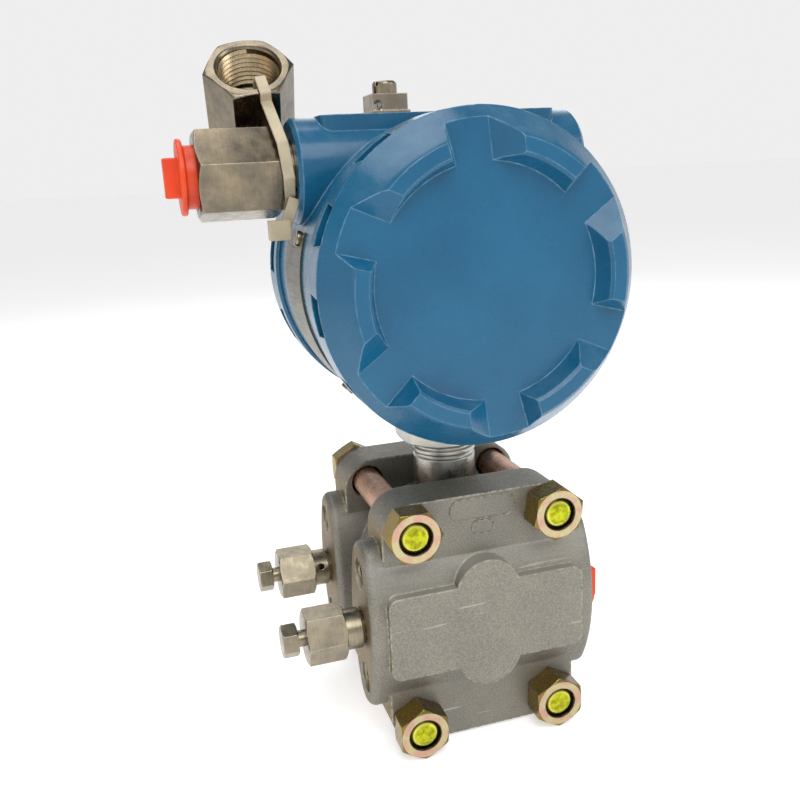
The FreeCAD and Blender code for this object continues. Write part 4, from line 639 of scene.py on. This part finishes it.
class TRANSMITTER_OT_adapters(bpy.types.Operator):
    """Dress the conduit adapters and the tie that holds the spare one"""
    bl_idname = "transmitter.adapters"
    bl_label = "Conduit adapters"

    def execute(self, context):
        steel = turned_stainless("stainless_hexagon_drawn", "#6b6458", "#8d806b", "X", 0.17)
        for name in ("conduit_adapter", "spare_conduit_adapter"):
            dress(name, steel, 0.35)
        bright = turned_stainless("stainless_thread_cut", "#a58f6c", "#c9b592", "X", 0.22)
        mouth, axis = Vector(SPARE_MOUTH), Vector(SPARE_AXIS)
        fitted = Vector((FITTED_PIPE_END, 0, ENTRY_HEIGHT))
        for name, centre, along, radii, length in (
                ("spare_socket_thread", mouth - axis * 1.2, axis, SOCKET_THREAD, 14),
                ("spare_pipe_thread", mouth - axis * 43.5, -axis, PIPE_THREAD, 14),
                ("fitted_pipe_thread", fitted, Vector((1, 0, 0)), PIPE_THREAD, 4.3)):
            mesh = thread_mesh(name, centre, along, radii, PIPE_PITCH, length)
            add_piece(name, mesh, bright, "housing_body")
        dress("cable_tie", moulded_plastic("nylon_moulded", looks().tie, "#a99d82", 0.4,
                                           0.25), 0.15)
        return {"FINISHED"}


class TRANSMITTER_OT_electronics(bpy.types.Operator):
    """Dress what the two chambers hold"""
    bl_idname = "transmitter.electronics"
    bl_label = "Electronics"

    def execute(self, context):
        dress("electronics_module", moulded_plastic("potting_shell_moulded", "#1c2024",
                                                    "#24292e", 0.45), 0.4)
        dress("circuit_board", solder_mask())
        dress("terminal_block", moulded_plastic("terminal_block_moulded", "#161616",
                                                "#202020", 0.4), 0.4)
        screws = turned_stainless("stainless_screws_turned", axis="Y")
        for name in ("electronics_screws", "terminal_screws", "terminal_block_screws"):
            dress(name, screws, 0.2)
        return {"FINISHED"}


def area_light(name, place, aim, size, power, code="#ffffff"):
    """Soft rectangular light at a place, turned to face a point."""
    light = bpy.data.lights.new(name, "AREA")
    light.shape = "RECTANGLE"
    light.size, light.size_y = size
    light.energy = power
    light.color = linear(code)[:3]
    lamp = bpy.data.objects.new(name, light)
    lamp.location = place
    lamp.rotation_euler = (Vector(aim) - Vector(place)).to_track_quat("-Z", "Y").to_euler()
    bpy.context.collection.objects.link(lamp)
    return lamp


class TRANSMITTER_OT_stage(bpy.types.Operator):
    """Add the floor, the light and the camera"""
    bl_idname = "transmitter.stage"
    bl_label = "Stage"

    def execute(self, context):
        mesh = bpy.data.meshes.new("floor")
        form = bmesh.new()
        bmesh.ops.create_grid(form, x_segments=1, y_segments=1, size=20.0)
        form.to_mesh(mesh)
        form.free()
        floor = bpy.data.objects.new("floor", mesh)
        context.collection.objects.link(floor)
        floor.data.materials.append(light_table())
        area_light("top", (-0.10, -0.75, 0.95), (0, 0, 0.10), (0.7, 0.7), 7.0)
        area_light("over", (-0.20, 0.15, 1.05), (0, 0, 0.15), (0.6, 0.6), 3.2)
        area_light("key", (0.75, -0.55, 0.70), (0, 0, 0.12), (0.5, 0.5), 2.0)
        area_light("fill", (-0.95, -0.35, 0.35), (0, 0, 0.15), (0.4, 0.6), 0.5, "#ffd9a8")
        area_light("rear", (0.3, 0.9, 0.7), (0, 0, 0.15), (0.8, 0.6), 2.0)
        context.scene.world = studio_sky()
        context.scene.view_settings.view_transform = "Standard"
        add_camera()
        return {"FINISHED"}


def studio_sky():
    """World that is bright along the horizon and darker overhead."""
    world = bpy.data.worlds.new("studio")
    world.use_nodes = True
    tree = world.node_tree
    place = add_node(tree, "ShaderNodeTexCoord", out="Generated")
    height = add_node(tree, "ShaderNodeSeparateXYZ", {0: place}, "Z")
    fade = add_node(tree, RANGE, {"Value": height, "From Min": 0.2, "From Max": 0.45,
                                  "To Min": 0.86, "To Max": 0.30})
    background = tree.nodes["Background"]
    background.inputs["Color"].default_value = linear("#ffffff")
    tree.links.new(fade, background.inputs["Strength"])
    return world


def add_camera():
    """Camera a little left of the front and above, tilted as if held by hand."""
    camera = bpy.data.cameras.new("camera")
    camera.lens = looks().lens
    camera.sensor_width = 36
    camera.clip_start = 0.01
    eye = bpy.data.objects.new("camera", camera)
    heading, pitch, roll = (math.radians(angle) for angle in CAMERA_TURN)
    turn = (Matrix.Rotation(-heading, 4, "Z") @ Matrix.Rotation(math.pi / 2 + pitch, 4, "X")
            @ Matrix.Rotation(roll, 4, "Z"))
    eye.matrix_world = Matrix.Translation(CAMERA_PLACE) @ turn
    bpy.context.collection.objects.link(eye)
    bpy.context.scene.camera = eye


class TRANSMITTER_PT_panel(bpy.types.Panel):
    """Buttons for the dressing steps"""
    bl_idname = "TRANSMITTER_PT_panel"
    bl_label = "Transmitter"
    bl_space_type = "VIEW_3D"
    bl_region_type = "UI"
    bl_category = "Transmitter"

    def draw(self, context):
        for name in ("paint", "plug", "tie", "casting_edge", "housing_edge", "lens"):
            self.layout.prop(context.scene.transmitter_looks, name)
        for step in STEPS:
            self.layout.operator(step.bl_idname)


STEPS = (TRANSMITTER_OT_flanges, TRANSMITTER_OT_bolting, TRANSMITTER_OT_cell,
         TRANSMITTER_OT_vents, TRANSMITTER_OT_plugs, TRANSMITTER_OT_housing,
         TRANSMITTER_OT_nameplate, TRANSMITTER_OT_earth, TRANSMITTER_OT_adapters,
         TRANSMITTER_OT_electronics, TRANSMITTER_OT_stage)
CLASSES = (TransmitterLooks,) + STEPS + (TRANSMITTER_PT_panel,)


def register():
    for item in CLASSES:
        bpy.utils.register_class(item)
    bpy.types.Scene.transmitter_looks = bpy.props.PointerProperty(type=TransmitterLooks)


def unregister():
    del bpy.types.Scene.transmitter_looks
    for item in reversed(CLASSES):
        bpy.utils.unregister_class(item)


def main():
    """Register the classes and run every step in order."""
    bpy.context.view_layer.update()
    register()
    for step in STEPS:
        family, name = step.bl_idname.split(".")
        getattr(getattr(bpy.ops, family), name)()


if __name__ == "__main__":
    main()
